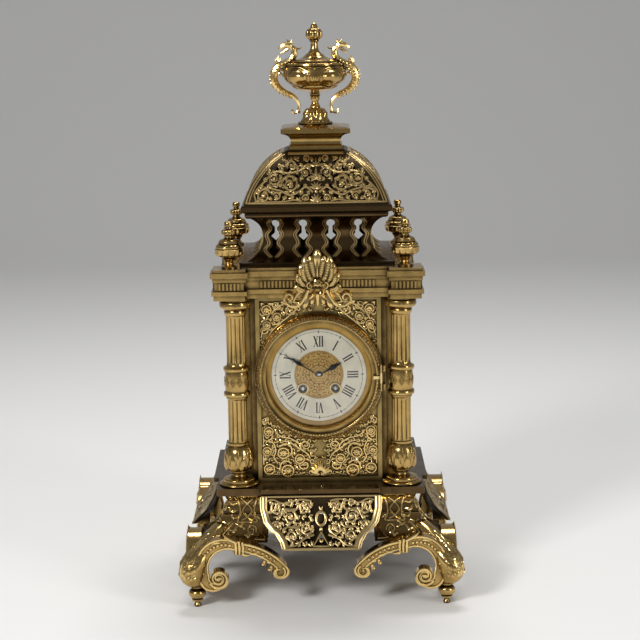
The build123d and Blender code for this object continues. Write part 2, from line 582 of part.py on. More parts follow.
PIVOT_R = 0.6
CENTRE_R = CANNON_R - PIVOT_GAP
TRAIN_FRONT = FRONT_PLATE_Y + MOVEMENT_PLATE + FIT
TRAIN_BACK = BACK_PLATE_Y - FIT
THIRD_AT = polar(CENTRE_MODULE * (CENTRE_TEETH + THIRD_PINION) / 2, THIRD_DIRECTION)
ESCAPE_X = 0.0
ESCAPE_DISTANCE = THIRD_MODULE * (THIRD_TEETH + ESCAPE_PINION) / 2
ESCAPE_AT = (ESCAPE_X, THIRD_AT[1] + (ESCAPE_DISTANCE ** 2 - (ESCAPE_X - THIRD_AT[0]) ** 2) ** 0.5)
ESCAPE_DIRECTION = degrees(atan2(ESCAPE_AT[1] - THIRD_AT[1], ESCAPE_AT[0] - THIRD_AT[0]))
PALLET_AT = (0.0, ESCAPE_AT[1] + 10.4)
TO_CENTRE = degrees(atan2(WINDER_DROP, WINDER_X))     # from the going barrel to the centre arbor
HAMMER_AT = (38.0, 2.0)
PIN_WHEEL_DIRECTION = 79.0
PIN_WHEEL_X, PIN_WHEEL_Z = polar(GREAT_MODULE * (GREAT_TEETH + STRIKE_PINION) / 2, PIN_WHEEL_DIRECTION)
PIN_WHEEL_AT = (WINDER_X + PIN_WHEEL_X, PIN_WHEEL_Z - WINDER_DROP)
PILLARS = [(-34.0, 16.0), (34.0, 16.0), (-10.0, -38.5), (10.0, -38.5)]


def pivot_holes(places, radius):
    return [Pos(x, -35, DIAL_Z + z) * Rot(90, 0, 0) * Cylinder(radius, 90) for x, z in places]


def movement_plate(front):
    plate = Pos(0, front + MOVEMENT_PLATE / 2, DIAL_Z) * Rot(90, 0, 0) * Cylinder(PLATE_R, MOVEMENT_PLATE)
    plate -= pivot_holes([THIRD_AT, ESCAPE_AT, PALLET_AT, HAMMER_AT, PIN_WHEEL_AT], PIVOT_R + PIVOT_GAP)
    plate -= pivot_holes([(-WINDER_X, -WINDER_DROP), (WINDER_X, -WINDER_DROP)], WINDER_R + PIVOT_GAP)
    return plate - pivot_holes([(0, 0)], CENTRE_R + PIVOT_GAP)


def movement_pillars():
    span = BACK_PLATE_Y - FRONT_PLATE_Y - MOVEMENT_PLATE
    pillar = turned([(0, 0), (3.6, 0), (3.6, 3), (2.4, 5), (2.4, span - 5), (3.6, span - 3), (3.6, span), (0, span)])
    return [at_front(pillar, x, BACK_PLATE_Y, DIAL_Z + z) for x, z in PILLARS]


def barrel(side, wheel_back, direction, drum_long):
    """Mainspring barrel: great wheel at the back and drum, bored to turn on its winding arbor."""
    x, z = side * WINDER_X, -WINDER_DROP
    bore = WINDER_R + PIVOT_GAP
    wheel = spoked(GREAT_TEETH, GREAT_MODULE, GREAT_WHEEL_THICK, bore, spokes=0, phase=direction)
    drum_end = GREAT_WHEEL_THICK + drum_long
    drum = turned([(bore, GREAT_WHEEL_THICK), (BARREL_R, GREAT_WHEEL_THICK), (BARREL_R, drum_end), (bore, drum_end)])
    return at_front(wheel + drum, x, wheel_back, DIAL_Z + z)


def winding_arbor(side):
    """Arbor through the barrel, squared at the front for the key and carrying a ratchet behind the front plate."""
    x, z = side * WINDER_X, DIAL_Z - WINDER_DROP
    front, back = -(DIAL_BACK - 2.4), BACK_PLATE_Y + MOVEMENT_PLATE + 1.0
    square_long = HOUR_HAND_AT - FIT + front
    body = Pos(x, (front + back) / 2, z) * Rot(90, 0, 0) * Cylinder(WINDER_R, back - front)
    square = Pos(x, front - square_long / 2, z) * Rot(0, 45, 0) * Box(2.8, square_long, 2.8)
    return body + square


def centre_wheel():
    """Centre arbor with its pinion, wheel and the long pivot that carries the cannon pinion."""
    wheel = spoked(CENTRE_TEETH, CENTRE_MODULE, 1.4, 0, phase=THIRD_DIRECTION, spokes=5)
    front_end = -(MINUTE_HAND_AT + HAND_THICK)
    body = Pos(0, (front_end + BACK_PLATE_Y + MOVEMENT_PLATE) / 2, DIAL_Z) * Rot(90, 0, 0) * Cylinder(
        CENTRE_R, BACK_PLATE_Y + MOVEMENT_PLATE - front_end)
    pinion = spoked(CENTRE_PINION, GREAT_MODULE, 2.6, 0, phase=TO_CENTRE + 180 + 180 / CENTRE_PINION)
    return body + at_front(wheel, 0, CENTRE_WHEEL_Y, DIAL_Z) + at_front(pinion, 0, TRAIN_BACK - 0.4, DIAL_Z)


CENTRE_WHEEL_Y = -40.0
THIRD_WHEEL_Y = -46.0
ESCAPE_WHEEL_Y = -22.0
GOING_WHEEL_Y = TRAIN_BACK - 1.0     # the two great wheels pass one behind the other
STRIKE_WHEEL_Y = GOING_WHEEL_Y - 3.0
PIN_WHEEL_Y = -30.0


def third_wheel():
    x, z = THIRD_AT
    wheel = spoked(THIRD_TEETH, THIRD_MODULE, 1.2, 0, phase=ESCAPE_DIRECTION, spokes=5)
    pinion = spoked(THIRD_PINION, CENTRE_MODULE, 3.4, 0, phase=THIRD_DIRECTION + 180 + 180 / THIRD_PINION)
    return (arbor(x, z, TRAIN_FRONT, TRAIN_BACK) + at_front(wheel, x, THIRD_WHEEL_Y, DIAL_Z + z)
            + at_front(pinion, x, CENTRE_WHEEL_Y + 1.0, DIAL_Z + z))


ESCAPE_TEETH = 36
ESCAPE_R = 7.4


def escape_wheel():
    """Escape wheel with pointed teeth, its pinion in mesh with the third wheel."""
    x, z = ESCAPE_AT
    points = []
    for i in range(ESCAPE_TEETH):
        a = 2 * pi * i / ESCAPE_TEETH
        points += [(ESCAPE_R * cos(a), ESCAPE_R * sin(a)), ((ESCAPE_R - 1.4) * cos(a + 0.05), (ESCAPE_R - 1.4) * sin(a + 0.05))]
    disc = make_face(Polyline(*points, close=True)) - (Circle(5.0) - Circle(2.4) - [Rot(0, 0, 72 * i) * Pos(3.7, 0) * Rectangle(4, 0.9)
                                                                                      for i in range(5)])
    pinion = spoked(ESCAPE_PINION, THIRD_MODULE, 3.2, 0, phase=ESCAPE_DIRECTION + 180 + 180 / ESCAPE_PINION)
    return (arbor(x, z, TRAIN_FRONT, TRAIN_BACK, 0.9) + at_front(extrude(disc, 0.8), x, ESCAPE_WHEEL_Y, DIAL_Z + z)
            + at_front(pinion, x, THIRD_WHEEL_Y + 1.0, DIAL_Z + z))


def pallets():
    """Anchor with two pallets over the escape wheel, its arbor, and the crutch that drives the pendulum."""
    x, z = PALLET_AT
    arms = [Pos(sx * 4.4, -2.8) * Rot(0, 0, -sx * 40) * Rectangle(8.4, 1.1) for sx in (-1, 1)]
    tips = [Pos(sx * 7.6, -5.5) * Rectangle(1.1, 2.0) for sx in (-1, 1)]
    anchor = extrude(Sketch() + arms + tips + [Circle(1.8)], 1.6)
    crutch = Pos(0, BACK_PLATE_Y + MOVEMENT_PLATE + 1.6, DIAL_Z + z - 11.0) * Box(1.4, 1.0, 22.0)
    fork = [Pos(sx * 1.35, BACK_PLATE_Y + MOVEMENT_PLATE + 4.0, DIAL_Z + z - 21.4) * Box(0.7, 5.6, 1.4) for sx in (-1, 1)]
    bridge = Pos(0, BACK_PLATE_Y + MOVEMENT_PLATE + 1.6, DIAL_Z + z - 21.4) * Box(3.4, 1.0, 1.4)
    end = Pos(x, BACK_PLATE_Y + MOVEMENT_PLATE, DIAL_Z + z) * Rot(90, 0, 0) * Cylinder(PIVOT_R, 5.0)
    return arbor(x, z, TRAIN_FRONT, TRAIN_BACK, 0.9) + at_front(anchor, x, ESCAPE_WHEEL_Y + 0.4, DIAL_Z + z) + end + crutch + fork + bridge


PENDULUM_Y = BACK_PLATE_Y + MOVEMENT_PLATE + 5.2
BOB_DROP = 104.0


def pendulum():
    """Suspension top, thin rod through the crutch and a lenticular bob with its rating nut."""
    top = DIAL_Z + PALLET_AT[1]
    rod = Pos(0, PENDULUM_Y, top - BOB_DROP / 2) * Cylinder(0.85, BOB_DROP)
    bob = Pos(0, PENDULUM_Y, top - BOB_DROP) * Rot(90, 0, 0) * turned([(0, -4.2), (1.0, -4.2), (15.0, 0, 8.4, -3.2), (1.0, 4.2, 8.4, 3.2), (0, 4.2)])
    nut = Pos(0, PENDULUM_Y, top - BOB_DROP - 17.0) * Cylinder(2.2, 3.0)
    screw = Pos(0, PENDULUM_Y, top - BOB_DROP - 12) * Cylinder(0.85, 12)
    eye = Pos(0, PENDULUM_Y, top) * Rot(90, 0, 0) * Cylinder(2.6, 2.0) - Pos(0, PENDULUM_Y, top) * Rot(90, 0, 0) * Cylinder(
        0.9 + PIVOT_GAP, 4)
    return rod - Pos(0, PENDULUM_Y, top) * Rot(90, 0, 0) * Cylinder(0.9 + PIVOT_GAP, 8) + bob + screw + nut + eye


def suspension_bracket():
    """Bracket on the back plate, with the stud that the pendulum hangs from."""
    top, plate_back = DIAL_Z + PALLET_AT[1], BACK_PLATE_Y + MOVEMENT_PLATE
    stud = Pos(0, PENDULUM_Y, top) * Rot(90, 0, 0) * Cylinder(0.9, 5.0)
    arm = Pos(0, PENDULUM_Y + 3.6, top + 4.5) * Box(6.0, 2.2, 14.0)
    shelf = Pos(0, (plate_back + PENDULUM_Y + 4.7) / 2, top + 9.8) * Box(6.0, PENDULUM_Y + 4.7 - plate_back, 3.4)
    return stud + arm + shelf


def pin_wheel():
    """Strike wheel with ten lifting pins for the hammer, and the pinion that the strike barrel drives."""
    x, z = PIN_WHEEL_AT
    disc = spoked(40, 0.3, 1.2, 0, spokes=0)
    pins = [Rot(0, 0, 36 * i) * Pos(4.2, 0, 2.2) * Cylinder(0.35, 2.4) for i in range(10)]
    pinion = spoked(STRIKE_PINION, GREAT_MODULE, 2.6, 0, phase=PIN_WHEEL_DIRECTION + 180 + 180 / STRIKE_PINION)
    return (arbor(x, z, TRAIN_FRONT, TRAIN_BACK, 0.9) + at_front(disc + pins, x, PIN_WHEEL_Y, DIAL_Z + z)
            + at_front(pinion, x, STRIKE_WHEEL_Y + 0.3, DIAL_Z + z))


BELL_Y = 24.0
BELL_R = 33.0
BELL_RISE = 14.0


def bell():
    """Cast bell, bored for its stand."""
    rows = [(2.5, 11.0), (2.5, 13.4), (6.0, 13.4), (BELL_R - 1.0, 2.4, 24.0, 10.6), (BELL_R, 0), (BELL_R - 2.0, 0),
            (BELL_R - 3.0, 1.6), (6.0, 11.0, 22.4, 8.6)]
    return Pos(0, BELL_Y, DIAL_Z + BELL_RISE) * Rot(-90, 0, 0) * turned(rows)


def bell_stand():
    """Stand from the back plate through the bell, with its nut."""
    plate_back, span = BACK_PLATE_Y + MOVEMENT_PLATE, BELL_Y + 11.0
    post_x, post_z = 0.0, DIAL_Z + BELL_RISE
    post = Pos(post_x, (plate_back + 14 + span + 7) / 2, post_z) * Rot(90, 0, 0) * Cylinder(2.4, span + 7 - plate_back - 14)
    seat = Pos(post_x, span - 1.5, post_z) * Rot(90, 0, 0) * Cylinder(4.0, 3.0)
    nut = Pos(post_x, span + 2.4 + 1.6, post_z) * Rot(90, 0, 0) * Cylinder(4.2, 3.2)
    beam = Pos(-14.0, plate_back + 14.0, post_z) * Box(34.0, 4.0, 7.0)
    leg = Pos(-29.0, plate_back + 7.0, post_z) * Box(4.0, 14.0, 7.0)
    return post + seat + nut + beam + leg


def hammer():
    """Hammer arbor with its tail by the pin wheel, an arm behind the back plate and a head beside the bell's rim."""
    x, z = HAMMER_AT
    arm_y, arm_long = BELL_Y - 4.0, 20.0
    to_pins = degrees(atan2(PIN_WHEEL_AT[1] - z, PIN_WHEEL_AT[0] - x))
    tail_long = hypot(PIN_WHEEL_AT[1] - z, PIN_WHEEL_AT[0] - x) - 5.2
    tail = at_front(extrude(Rot(0, 0, to_pins) * Pos(tail_long / 2, 0) * Rectangle(tail_long, 1.2), 1.0),
                    x, PIN_WHEEL_Y - 2.4, DIAL_Z + z)
    shaft_long = arm_y + 1.0 - BACK_PLATE_Y
    shaft = Pos(x, BACK_PLATE_Y + shaft_long / 2, DIAL_Z + z) * Rot(90, 0, 0) * Cylinder(PIVOT_R, shaft_long)
    arm = Pos(x, arm_y, DIAL_Z + z + arm_long / 2) * Box(1.6, 1.6, arm_long)
    head = Pos(x + 2.0, arm_y + 2.0, DIAL_Z + z + arm_long) * Rot(0, 90, 0) * Cylinder(3.2, 9.0)
    return arbor(x, z, TRAIN_FRONT, TRAIN_BACK, 0.9) + tail + shaft + arm + head


# Back door

DOOR_R = 54.0


def back_door():
    """Round dished back door with a sound-hole rosette, on a knuckled hinge."""
    face = PANEL_FACE + FIT
    sheet = turned([(0, face + 2.0), (0, face + 0.8), (DOOR_R - 4, face + 0.8), (DOOR_R - 4, face), (DOOR_R, face),
                    (DOOR_R, face + 2.6), (DOOR_R - 4, face + 3.8, DOOR_R - 1.4, face + 3.8), (DOOR_R - 8, face + 2.0)])
    holes = [Rot(0, 0, 45 * i) * Pos(r, 0) * Circle(q) for i in range(8) for r, q in ((12, 3.0), (24, 4.4), (37, 5.4))]
    disc = sheet - extrude(Sketch() + holes, 200)
    axis_y = face + 5.0
    placed = Pos(0, 0, DIAL_Z) * Rot(-90, 0, 0) * disc
    knuckle = Pos(-DOOR_R - 2.4, axis_y, DIAL_Z) * Cylinder(2.0, 12) + Pos(-DOOR_R + 2.0, axis_y - 1.6, DIAL_Z) * Box(9.0, 1.4, 12)
    return placed + (knuckle - Pos(-DOOR_R - 2.4, axis_y, DIAL_Z) * Cylinder(1.0 + PIVOT_GAP, 14))


def back_hinge():
    axis_x, axis_y = -DOOR_R - 2.4, PANEL_FACE + FIT + 5.0
    pieces = Pos(axis_x, axis_y, DIAL_Z) * Cylinder(1.0, 26)
    for side in (-1, 1):
        pieces += Pos(axis_x, axis_y, DIAL_Z + side * 9.4) * Cylinder(2.0, 6.0)
        pieces += Pos(axis_x - 1.0, (axis_y + PANEL_FACE) / 2, DIAL_Z + side * 9.4) * Box(2.0, axis_y - PANEL_FACE, 6.0)
    return pieces


# Assembly

CORNERS = {"front_right": 0, "back_right": 90, "back_left": 180, "front_left": 270}
SIDES = {"front": 0, "right": 90, "back": 180, "left": 270}

leg_shape, foot_shape = scroll_leg(), Pos(FOOT_AT, -FOOT_AT, 0) * toupie_foot()
column_pieces, finial_shape = column(), corner_finial()
for corner, turn in CORNERS.items():
    place = Rot(0, 0, turn)
    save(Compound([place * leg_shape, place * foot_shape]), f"leg_{corner}")
    save(Compound([place * piece for piece in column_pieces]), f"column_{corner}")
    save(place * finial_shape, f"finial_{corner}")

apron_shape, dentil_row = apron(), dentils()
for side, turn in SIDES.items():
    save(Rot(0, 0, turn) * apron_shape, f"apron_{side}")
    panel_shape = Rot(0, 0, turn) * cast_panel(opening=side in ("front", "back"))
    save(Compound([panel_shape, back_hinge()]) if side == "back" else panel_shape, f"panel_{side}")

cornice = entablature() + [Rot(0, 0, turn) * tooth for turn in SIDES.values() for tooth in dentil_row]
handle = urn_handle()
save(flared_base(), "flared_base")
save(base_plate(), "base_plate")
save(Compound(case_box()), "case_box")
save(cornice, "entablature")
save(gallery(), "gallery")
save(dome_plate(), "dome_plate")
save(dome(), "dome")
save(urn_plinth(), "urn_plinth")
save(urn_foot(), "urn_foot")
save(urn_bowl(), "urn_bowl")
save(urn_lid(), "urn_lid")
save(Compound([handle, mirrored(handle)]), "urn_handles")
save(crest(), "crest")
save(Compound([ornament_ring(), front_hinge()]), "ornament_ring")
save(front_bezel(), "front_bezel")
save(bezel_glass(), "bezel_glass")
save(Compound([dial_plate(), dial_centre()]), "dial_plate")
save(chapter_ring(), "chapter_ring")
save(hour_hand(), "hour_hand")
save(hour_wheel(), "hour_wheel")
save(Compound([minute_hand(), hand_nut()]), "minute_hand")
save(cannon_pinion(), "cannon_pinion")
save(minute_work(), "minute_work")
save(Compound([movement_plate(FRONT_PLATE_Y)] + movement_pillars()), "movement_front_plate")
save(Compound([movement_plate(BACK_PLATE_Y), suspension_bracket()]), "movement_back_plate")
save(barrel(-1, GOING_WHEEL_Y, TO_CENTRE, 17.0), "going_barrel")
save(barrel(1, STRIKE_WHEEL_Y, PIN_WHEEL_DIRECTION, 15.0), "strike_barrel")
save(winding_arbor(-1), "going_winder")
save(winding_arbor(1), "strike_winder")
save(centre_wheel(), "centre_wheel")
save(third_wheel(), "third_wheel")
save(escape_wheel(), "escape_wheel")
save(pallets(), "pallets")
save(pendulum(), "pendulum")
save(pin_wheel(), "pin_wheel")
save(bell(), "bell")
save(bell_stand(), "bell_stand")
save(hammer(), "hammer")
save(back_door(), "back_door")
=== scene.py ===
# %% [markdown]
# # A brass bracket clock
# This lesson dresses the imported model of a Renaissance-style bracket clock. The frame brings in every solid
# in its right place; each cell then adds cast ornament, turnings, a dial and the finishes of old lacquered
# brass.

# %% Load the frame
from math import atan2, cos, degrees, hypot, pi, radians, sin

import bpy
from mathutils import Matrix, Vector


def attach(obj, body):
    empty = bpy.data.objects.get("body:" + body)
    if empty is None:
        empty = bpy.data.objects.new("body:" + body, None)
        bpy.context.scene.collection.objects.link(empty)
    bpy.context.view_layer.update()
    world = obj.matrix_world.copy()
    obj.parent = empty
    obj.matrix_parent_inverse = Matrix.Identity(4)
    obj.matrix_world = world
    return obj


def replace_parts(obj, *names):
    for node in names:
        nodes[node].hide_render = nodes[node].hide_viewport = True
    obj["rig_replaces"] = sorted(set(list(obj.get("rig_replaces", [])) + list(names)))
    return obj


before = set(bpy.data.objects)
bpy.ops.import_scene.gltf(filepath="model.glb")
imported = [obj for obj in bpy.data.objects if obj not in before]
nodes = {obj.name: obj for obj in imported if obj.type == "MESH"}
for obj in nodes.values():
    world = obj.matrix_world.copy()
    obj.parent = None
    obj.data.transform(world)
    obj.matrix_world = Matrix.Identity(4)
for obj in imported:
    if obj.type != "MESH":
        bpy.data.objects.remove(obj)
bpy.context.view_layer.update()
MM = 0.001

# %% [markdown]
# The solids come with their origins on the floor under the clock. The sizes below repeat the ones that the
# ornament has to meet: the dial's height, the panel's face, the foot's place and so on, all in millimetres.

# %% Sizes that the ornament meets
DIAL_Z = 216.5
PANEL_Y = 75.0
FOOT_AT = 121.0
COLUMN_AT = 80.0
FINIAL_AT = 84.5
CORNICE_TOP = 326.0
PLINTH_TOP = 457.0
URN_LOW = PLINTH_TOP + 29.0
URN_RIM = URN_LOW + 31.6

# %% [markdown]
# Every new piece ends the same way: its place is applied to its mesh, its faces point outwards, it is
# shaded smooth except across sharp corners, and it rides on a body of the frame.

# %% Helpers that finish a piece
def deselect():
    bpy.ops.object.select_all(action="DESELECT")


def pick(ob):
    deselect()
    ob.select_set(True)
    bpy.context.view_layer.objects.active = ob
    return ob


def outwards(ob):
    """Merges doubles and turns every face outwards."""
    pick(ob)
    bpy.ops.object.mode_set(mode="EDIT")
    bpy.ops.mesh.select_all(action="SELECT")
    bpy.ops.mesh.remove_doubles(threshold=1e-6)
    bpy.ops.mesh.normals_make_consistent(inside=False)
    bpy.ops.object.mode_set(mode="OBJECT")


def settle(ob, name, finish, body="case", stands_for=(), angle=40):
    """Applies the place, names the piece, gives it its finish and lets it ride on its body."""
    pick(ob)
    bpy.ops.object.transform_apply(location=True, rotation=True, scale=True)
    outwards(ob)
    bpy.ops.object.shade_smooth_by_angle(angle=radians(angle))
    ob.name = ob.data.name = name
    ob.data.materials.clear()
    ob.data.materials.append(finish)
    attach(ob, body)
    if stands_for:
        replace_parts(ob, *stands_for)
    return ob


def joined(first, *others):
    """Joins pieces into the first one."""
    deselect()
    for part in (first, *others):
        part.select_set(True)
    bpy.context.view_layer.objects.active = first
    bpy.ops.object.join()
    return first


def quarter_turns(ob, names, replaced=None, turns=(90, 180, 270)):
    """Copies a finished piece round the clock's axis, each copy with a mesh of its own."""
    copies = []
    for name, turn in zip(names, turns):
        twin = ob.copy()
        twin.data = ob.data.copy()
        bpy.context.scene.collection.objects.link(twin)
        twin.parent = None
        twin.data.transform(Matrix.Rotation(radians(turn), 4, "Z"))
        twin.name = twin.data.name = name
        twin.pop("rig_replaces", None)
        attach(twin, "case")
        if replaced:
            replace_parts(twin, replaced[len(copies)])
        copies.append(twin)
    return copies


def other_sides(name):
    return [f"{name}_{side}" for side in ("right", "back", "left")]


# %% [markdown]
# Old lacquered brass is bright where hands and cloths reach it and brown with patina in its hollows. A shader
# finds the hollows with ambient occlusion and darkens the colour there, far past patina, so this is also
# painted shade. One node group of noise, occlusion and a colour ramp makes all the brasses, and only their
# colours and polish differ.

# %% The finishes
def node_set(material):
    material.use_nodes = True
    tree = material.node_tree
    return tree, tree.nodes["Principled BSDF"]


def metal(name, bright, dark, rough=(0.18, 0.42), hollow=0.004, grain=220.0, bump=0.12, patina_and_shade=1.0):
    """A metal whose colour is bright on open surfaces and dark in its hollows, where ambient occlusion
    darkens it: brown patina and painted shade. It has cloudy roughness and a fine cast grain.
    """
    material = bpy.data.materials.new(name)
    tree, shader = node_set(material)
    add, link = tree.nodes.new, tree.links.new
    where = add("ShaderNodeTexCoord")
    clouds = add("ShaderNodeTexNoise")
    clouds.inputs["Scale"].default_value = grain * 0.35
    clouds.inputs["Detail"].default_value = 5
    link(where.outputs["Object"], clouds.inputs["Vector"])
    # Ambient occlusion finds the hollows, and the colour ramp below darkens them: brown patina and painted
    # shade.
    hollows = add("ShaderNodeAmbientOcclusion")
    hollows.inputs["Distance"].default_value = hollow
    hollows.samples = 6
    soft, wear_and_shade = add("ShaderNodeMath"), add("ShaderNodeMath")
    soft.operation, wear_and_shade.operation = "MULTIPLY", "MULTIPLY_ADD"
    soft.inputs[1].default_value, wear_and_shade.inputs[1].default_value = 0.45, 0.72
    link(clouds.outputs["Fac"], soft.inputs[0])
    link(hollows.outputs["AO"], wear_and_shade.inputs[0])
    link(soft.outputs[0], wear_and_shade.inputs[2])
    # The dark stop is for occluded hollows and is painted shade as well as patina. The bright stop is for
    # open surfaces.
    ramp = add("ShaderNodeValToRGB")
    ramp.color_ramp.elements[0].position = 0.45 * patina_and_shade
    ramp.color_ramp.elements[0].color = (*dark, 1)
    ramp.color_ramp.elements[1].position = 0.97
    ramp.color_ramp.elements[1].color = (*bright, 1)
    middle = ramp.color_ramp.elements.new(0.74 * patina_and_shade)
    middle.color = (*[0.4 * b + 0.6 * d for b, d in zip(bright, dark)], 1)
    link(wear_and_shade.outputs[0], ramp.inputs["Fac"])
    link(ramp.outputs["Color"], shader.inputs["Base Color"])
    shader.inputs["Metallic"].default_value = 1.0
    polish = add("ShaderNodeMapRange")
    polish.inputs["To Min"].default_value, polish.inputs["To Max"].default_value = rough[1], rough[0]
    polish.inputs["From Min"].default_value, polish.inputs["From Max"].default_value = 0.55, 1.0
    link(wear_and_shade.outputs[0], polish.inputs["Value"])
    link(polish.outputs["Result"], shader.inputs["Roughness"])
    if bump:
        pits = add("ShaderNodeTexNoise")
        pits.inputs["Scale"].default_value = grain * 4
        pits.inputs["Detail"].default_value = 3
        link(where.outputs["Object"], pits.inputs["Vector"])
        lift = add("ShaderNodeBump")
        lift.inputs["Strength"].default_value = bump
        lift.inputs["Distance"].default_value = 0.0004
        link(pits.outputs["Fac"], lift.inputs["Height"])
        link(lift.outputs["Normal"], shader.inputs["Normal"])
    return material


# The umber and brown brasses are darkened copies of the brass. They go to parts that sit under or behind
# others, so their colour is painted shade.
umber_shade_brass = metal("umber_shade_brass", (0.115, 0.070, 0.030), (0.012, 0.008, 0.005), (0.20, 0.42), hollow=0.008)
fret_brass = metal("fret_brass", (0.56, 0.40, 0.17), (0.15, 0.09, 0.035), (0.32, 0.50), hollow=0.0016,
                   bump=0.0)
engraved_line = metal("engraved_line", (0.60, 0.44, 0.20), (0.16, 0.10, 0.04), (0.30, 0.46), hollow=0.0012,
                      bump=0.0)
relief_brass = metal("relief_brass", (0.864, 0.620, 0.252), (0.050, 0.030, 0.010), (0.15, 0.36),
                     hollow=0.0022)
case_brass = metal("case_brass", (0.540, 0.360, 0.126), (0.040, 0.024, 0.009), (0.14, 0.36), hollow=0.006)
brown_shade_brass = metal("brown_shade_brass", (0.281, 0.175, 0.063), (0.022, 0.014, 0.007), (0.18, 0.42), hollow=0.008)
# This near-black brass lies under the pierced frets of the aprons and the dome: painted shade for their
# openings.
fret_shade_ground = metal("fret_shade_ground", (0.050, 0.034, 0.016), (0.008, 0.006, 0.004), (0.35, 0.6), hollow=0.004)
field_brass = metal("field_brass", (0.42, 0.30, 0.11), (0.035, 0.020, 0.007), (0.28, 0.48), hollow=0.004,
                    bump=0.5)
bright_brass = metal("bright_brass", (0.84, 0.64, 0.30), (0.16, 0.09, 0.03), (0.08, 0.20), hollow=0.003,
                     bump=0.03)
movement_brass = metal("movement_brass", (0.74, 0.57, 0.27), (0.30, 0.19, 0.07), (0.22, 0.35), hollow=0.002)
bell_metal = metal("bell_metal", (0.66, 0.51, 0.30), (0.26, 0.17, 0.09), (0.15, 0.3), hollow=0.003)
arbor_steel = metal("arbor_steel", (0.55, 0.55, 0.57), (0.12, 0.10, 0.09), (0.15, 0.3), hollow=0.002,
                    bump=0.03)
black_steel = metal("black_steel", (0.012, 0.012, 0.014), (0.004, 0.004, 0.004), (0.25, 0.4), hollow=0.002,
                    bump=0.03)
silvered = metal("silvered", (0.840, 0.780, 0.639), (0.45, 0.40, 0.31), (0.42, 0.55), hollow=0.002, bump=0.06)
print("finishes:", len(bpy.data.materials))

# %% [markdown]
# The camera stands where the photographer stood: about 1.7 m in front of the dial, a little above the dome,
# looking down ten degrees. The long lens keeps the clock's sides from spreading.

# %% Camera
bpy.ops.object.camera_add(location=(0.0054, -1.798, 0.577), rotation=(radians(90 - 10.03), 0, radians(0.118)))
camera = bpy.context.object
camera.rotation_euler = (Matrix.Rotation(radians(0.118), 4, "Z") @ Matrix.Rotation(radians(79.97), 4, "X")
                         @ Matrix.Rotation(radians(-0.856), 4, "Z")).to_euler()
camera.data.lens = 101.4
camera.data.sensor_width = 36.0
camera.data.clip_start, camera.data.clip_end = 0.05, 20
bpy.context.scene.camera = camera
print("camera:", camera.data.lens, "mm lens")

# %% [markdown]
# A pale sweep of paper makes floor and backdrop in one piece: a plane with its far edge pulled up and the
# fold bevelled round. Three soft lamps and a grey sky give brass something bright and something darker to
# mirror.

# %% Floor, backdrop and light
bpy.ops.mesh.primitive_plane_add(size=6, location=(0, 0.4, 0))
sweep = bpy.context.object
bpy.ops.object.mode_set(mode="EDIT")
bpy.ops.mesh.select_mode(type="EDGE")
bpy.ops.mesh.select_all(action="DESELECT")
bpy.ops.object.mode_set(mode="OBJECT")
for edge in sweep.data.edges:
    edge.select = all(sweep.data.vertices[v].co.y > 2.9 for v in edge.vertices)
bpy.ops.object.mode_set(mode="EDIT")
bpy.ops.mesh.extrude_edges_move(TRANSFORM_OT_translate={"value": (0, 0, 4)})
bpy.ops.object.mode_set(mode="OBJECT")
fold = sweep.modifiers.new("fold", "BEVEL")
fold.width, fold.segments, fold.limit_method = 1.2, 12, "ANGLE"
bpy.ops.object.shade_smooth()
paper = bpy.data.materials.new("paper")
tree, shader = node_set(paper)
shader.inputs["Base Color"].default_value = (0.82, 0.81, 0.79, 1)
shader.inputs["Roughness"].default_value = 0.85
sweep.data.materials.append(paper)
sweep.name = "floor"


def lamp(name, at, aim, size, power, tint=(1, 1, 1)):
    bpy.ops.object.light_add(type="AREA", location=at)
    light = bpy.context.object
    light.name = name
    light.data.shape, light.data.size, light.data.size_y = "RECTANGLE", size[0], size[1]
    light.data.energy, light.data.color = power, tint
    light.rotation_euler = (Vector(at) - Vector(aim)).to_track_quat("Z", "Y").to_euler()
    return light


lamp("key", (-1.2, -1.7, 1.35), (0, 0, 0.3), (0.55, 0.55), 34)
lamp("fill", (1.5, -1.2, 0.8), (0, 0, 0.25), (0.3, 1.1), 11)
lamp("top", (0.1, 0.6, 1.9), (0, 0, 0.3), (1.0, 0.5), 20)
world = bpy.data.worlds.new("sky")
bpy.context.scene.world = world
world.use_nodes = True
world.node_tree.nodes["Background"].inputs["Color"].default_value = (0.55, 0.56, 0.58, 1)
world.node_tree.nodes["Background"].inputs["Strength"].default_value = 0.40
bpy.context.scene.view_settings.view_transform = "Standard"

# %% [markdown]
# The solids that already have their right shape keep it and only get a finish.

# %% Finishes for the solids
# Base plate, gallery and dome plate get the umber brass, and the base and case box get the brown brass:
# painted shade for parts under or behind others.
FINISH = {
    "flared_base": brown_shade_brass, "base_plate": umber_shade_brass, "case_box": brown_shade_brass, "entablature": case_brass,
    "gallery": umber_shade_brass, "dome_plate": umber_shade_brass, "urn_plinth": case_brass,
    "ornament_ring": case_brass, "front_bezel": bright_brass, "chapter_ring": silvered,
    "hour_wheel": movement_brass, "minute_work": movement_brass, "cannon_pinion": arbor_steel,
    "movement_front_plate": movement_brass, "movement_back_plate": movement_brass,
    "going_barrel": movement_brass,
    "strike_barrel": movement_brass, "going_winder": arbor_steel, "strike_winder": arbor_steel,
    "centre_wheel": movement_brass, "third_wheel": movement_brass, "escape_wheel": movement_brass,
    "pin_wheel": movement_brass, "pallets": arbor_steel, "pendulum": movement_brass, "hammer": arbor_steel,
    "bell": bell_metal, "bell_stand": arbor_steel, "back_door": case_brass, "minute_hand": black_steel,
    "hour_hand": black_steel,
}
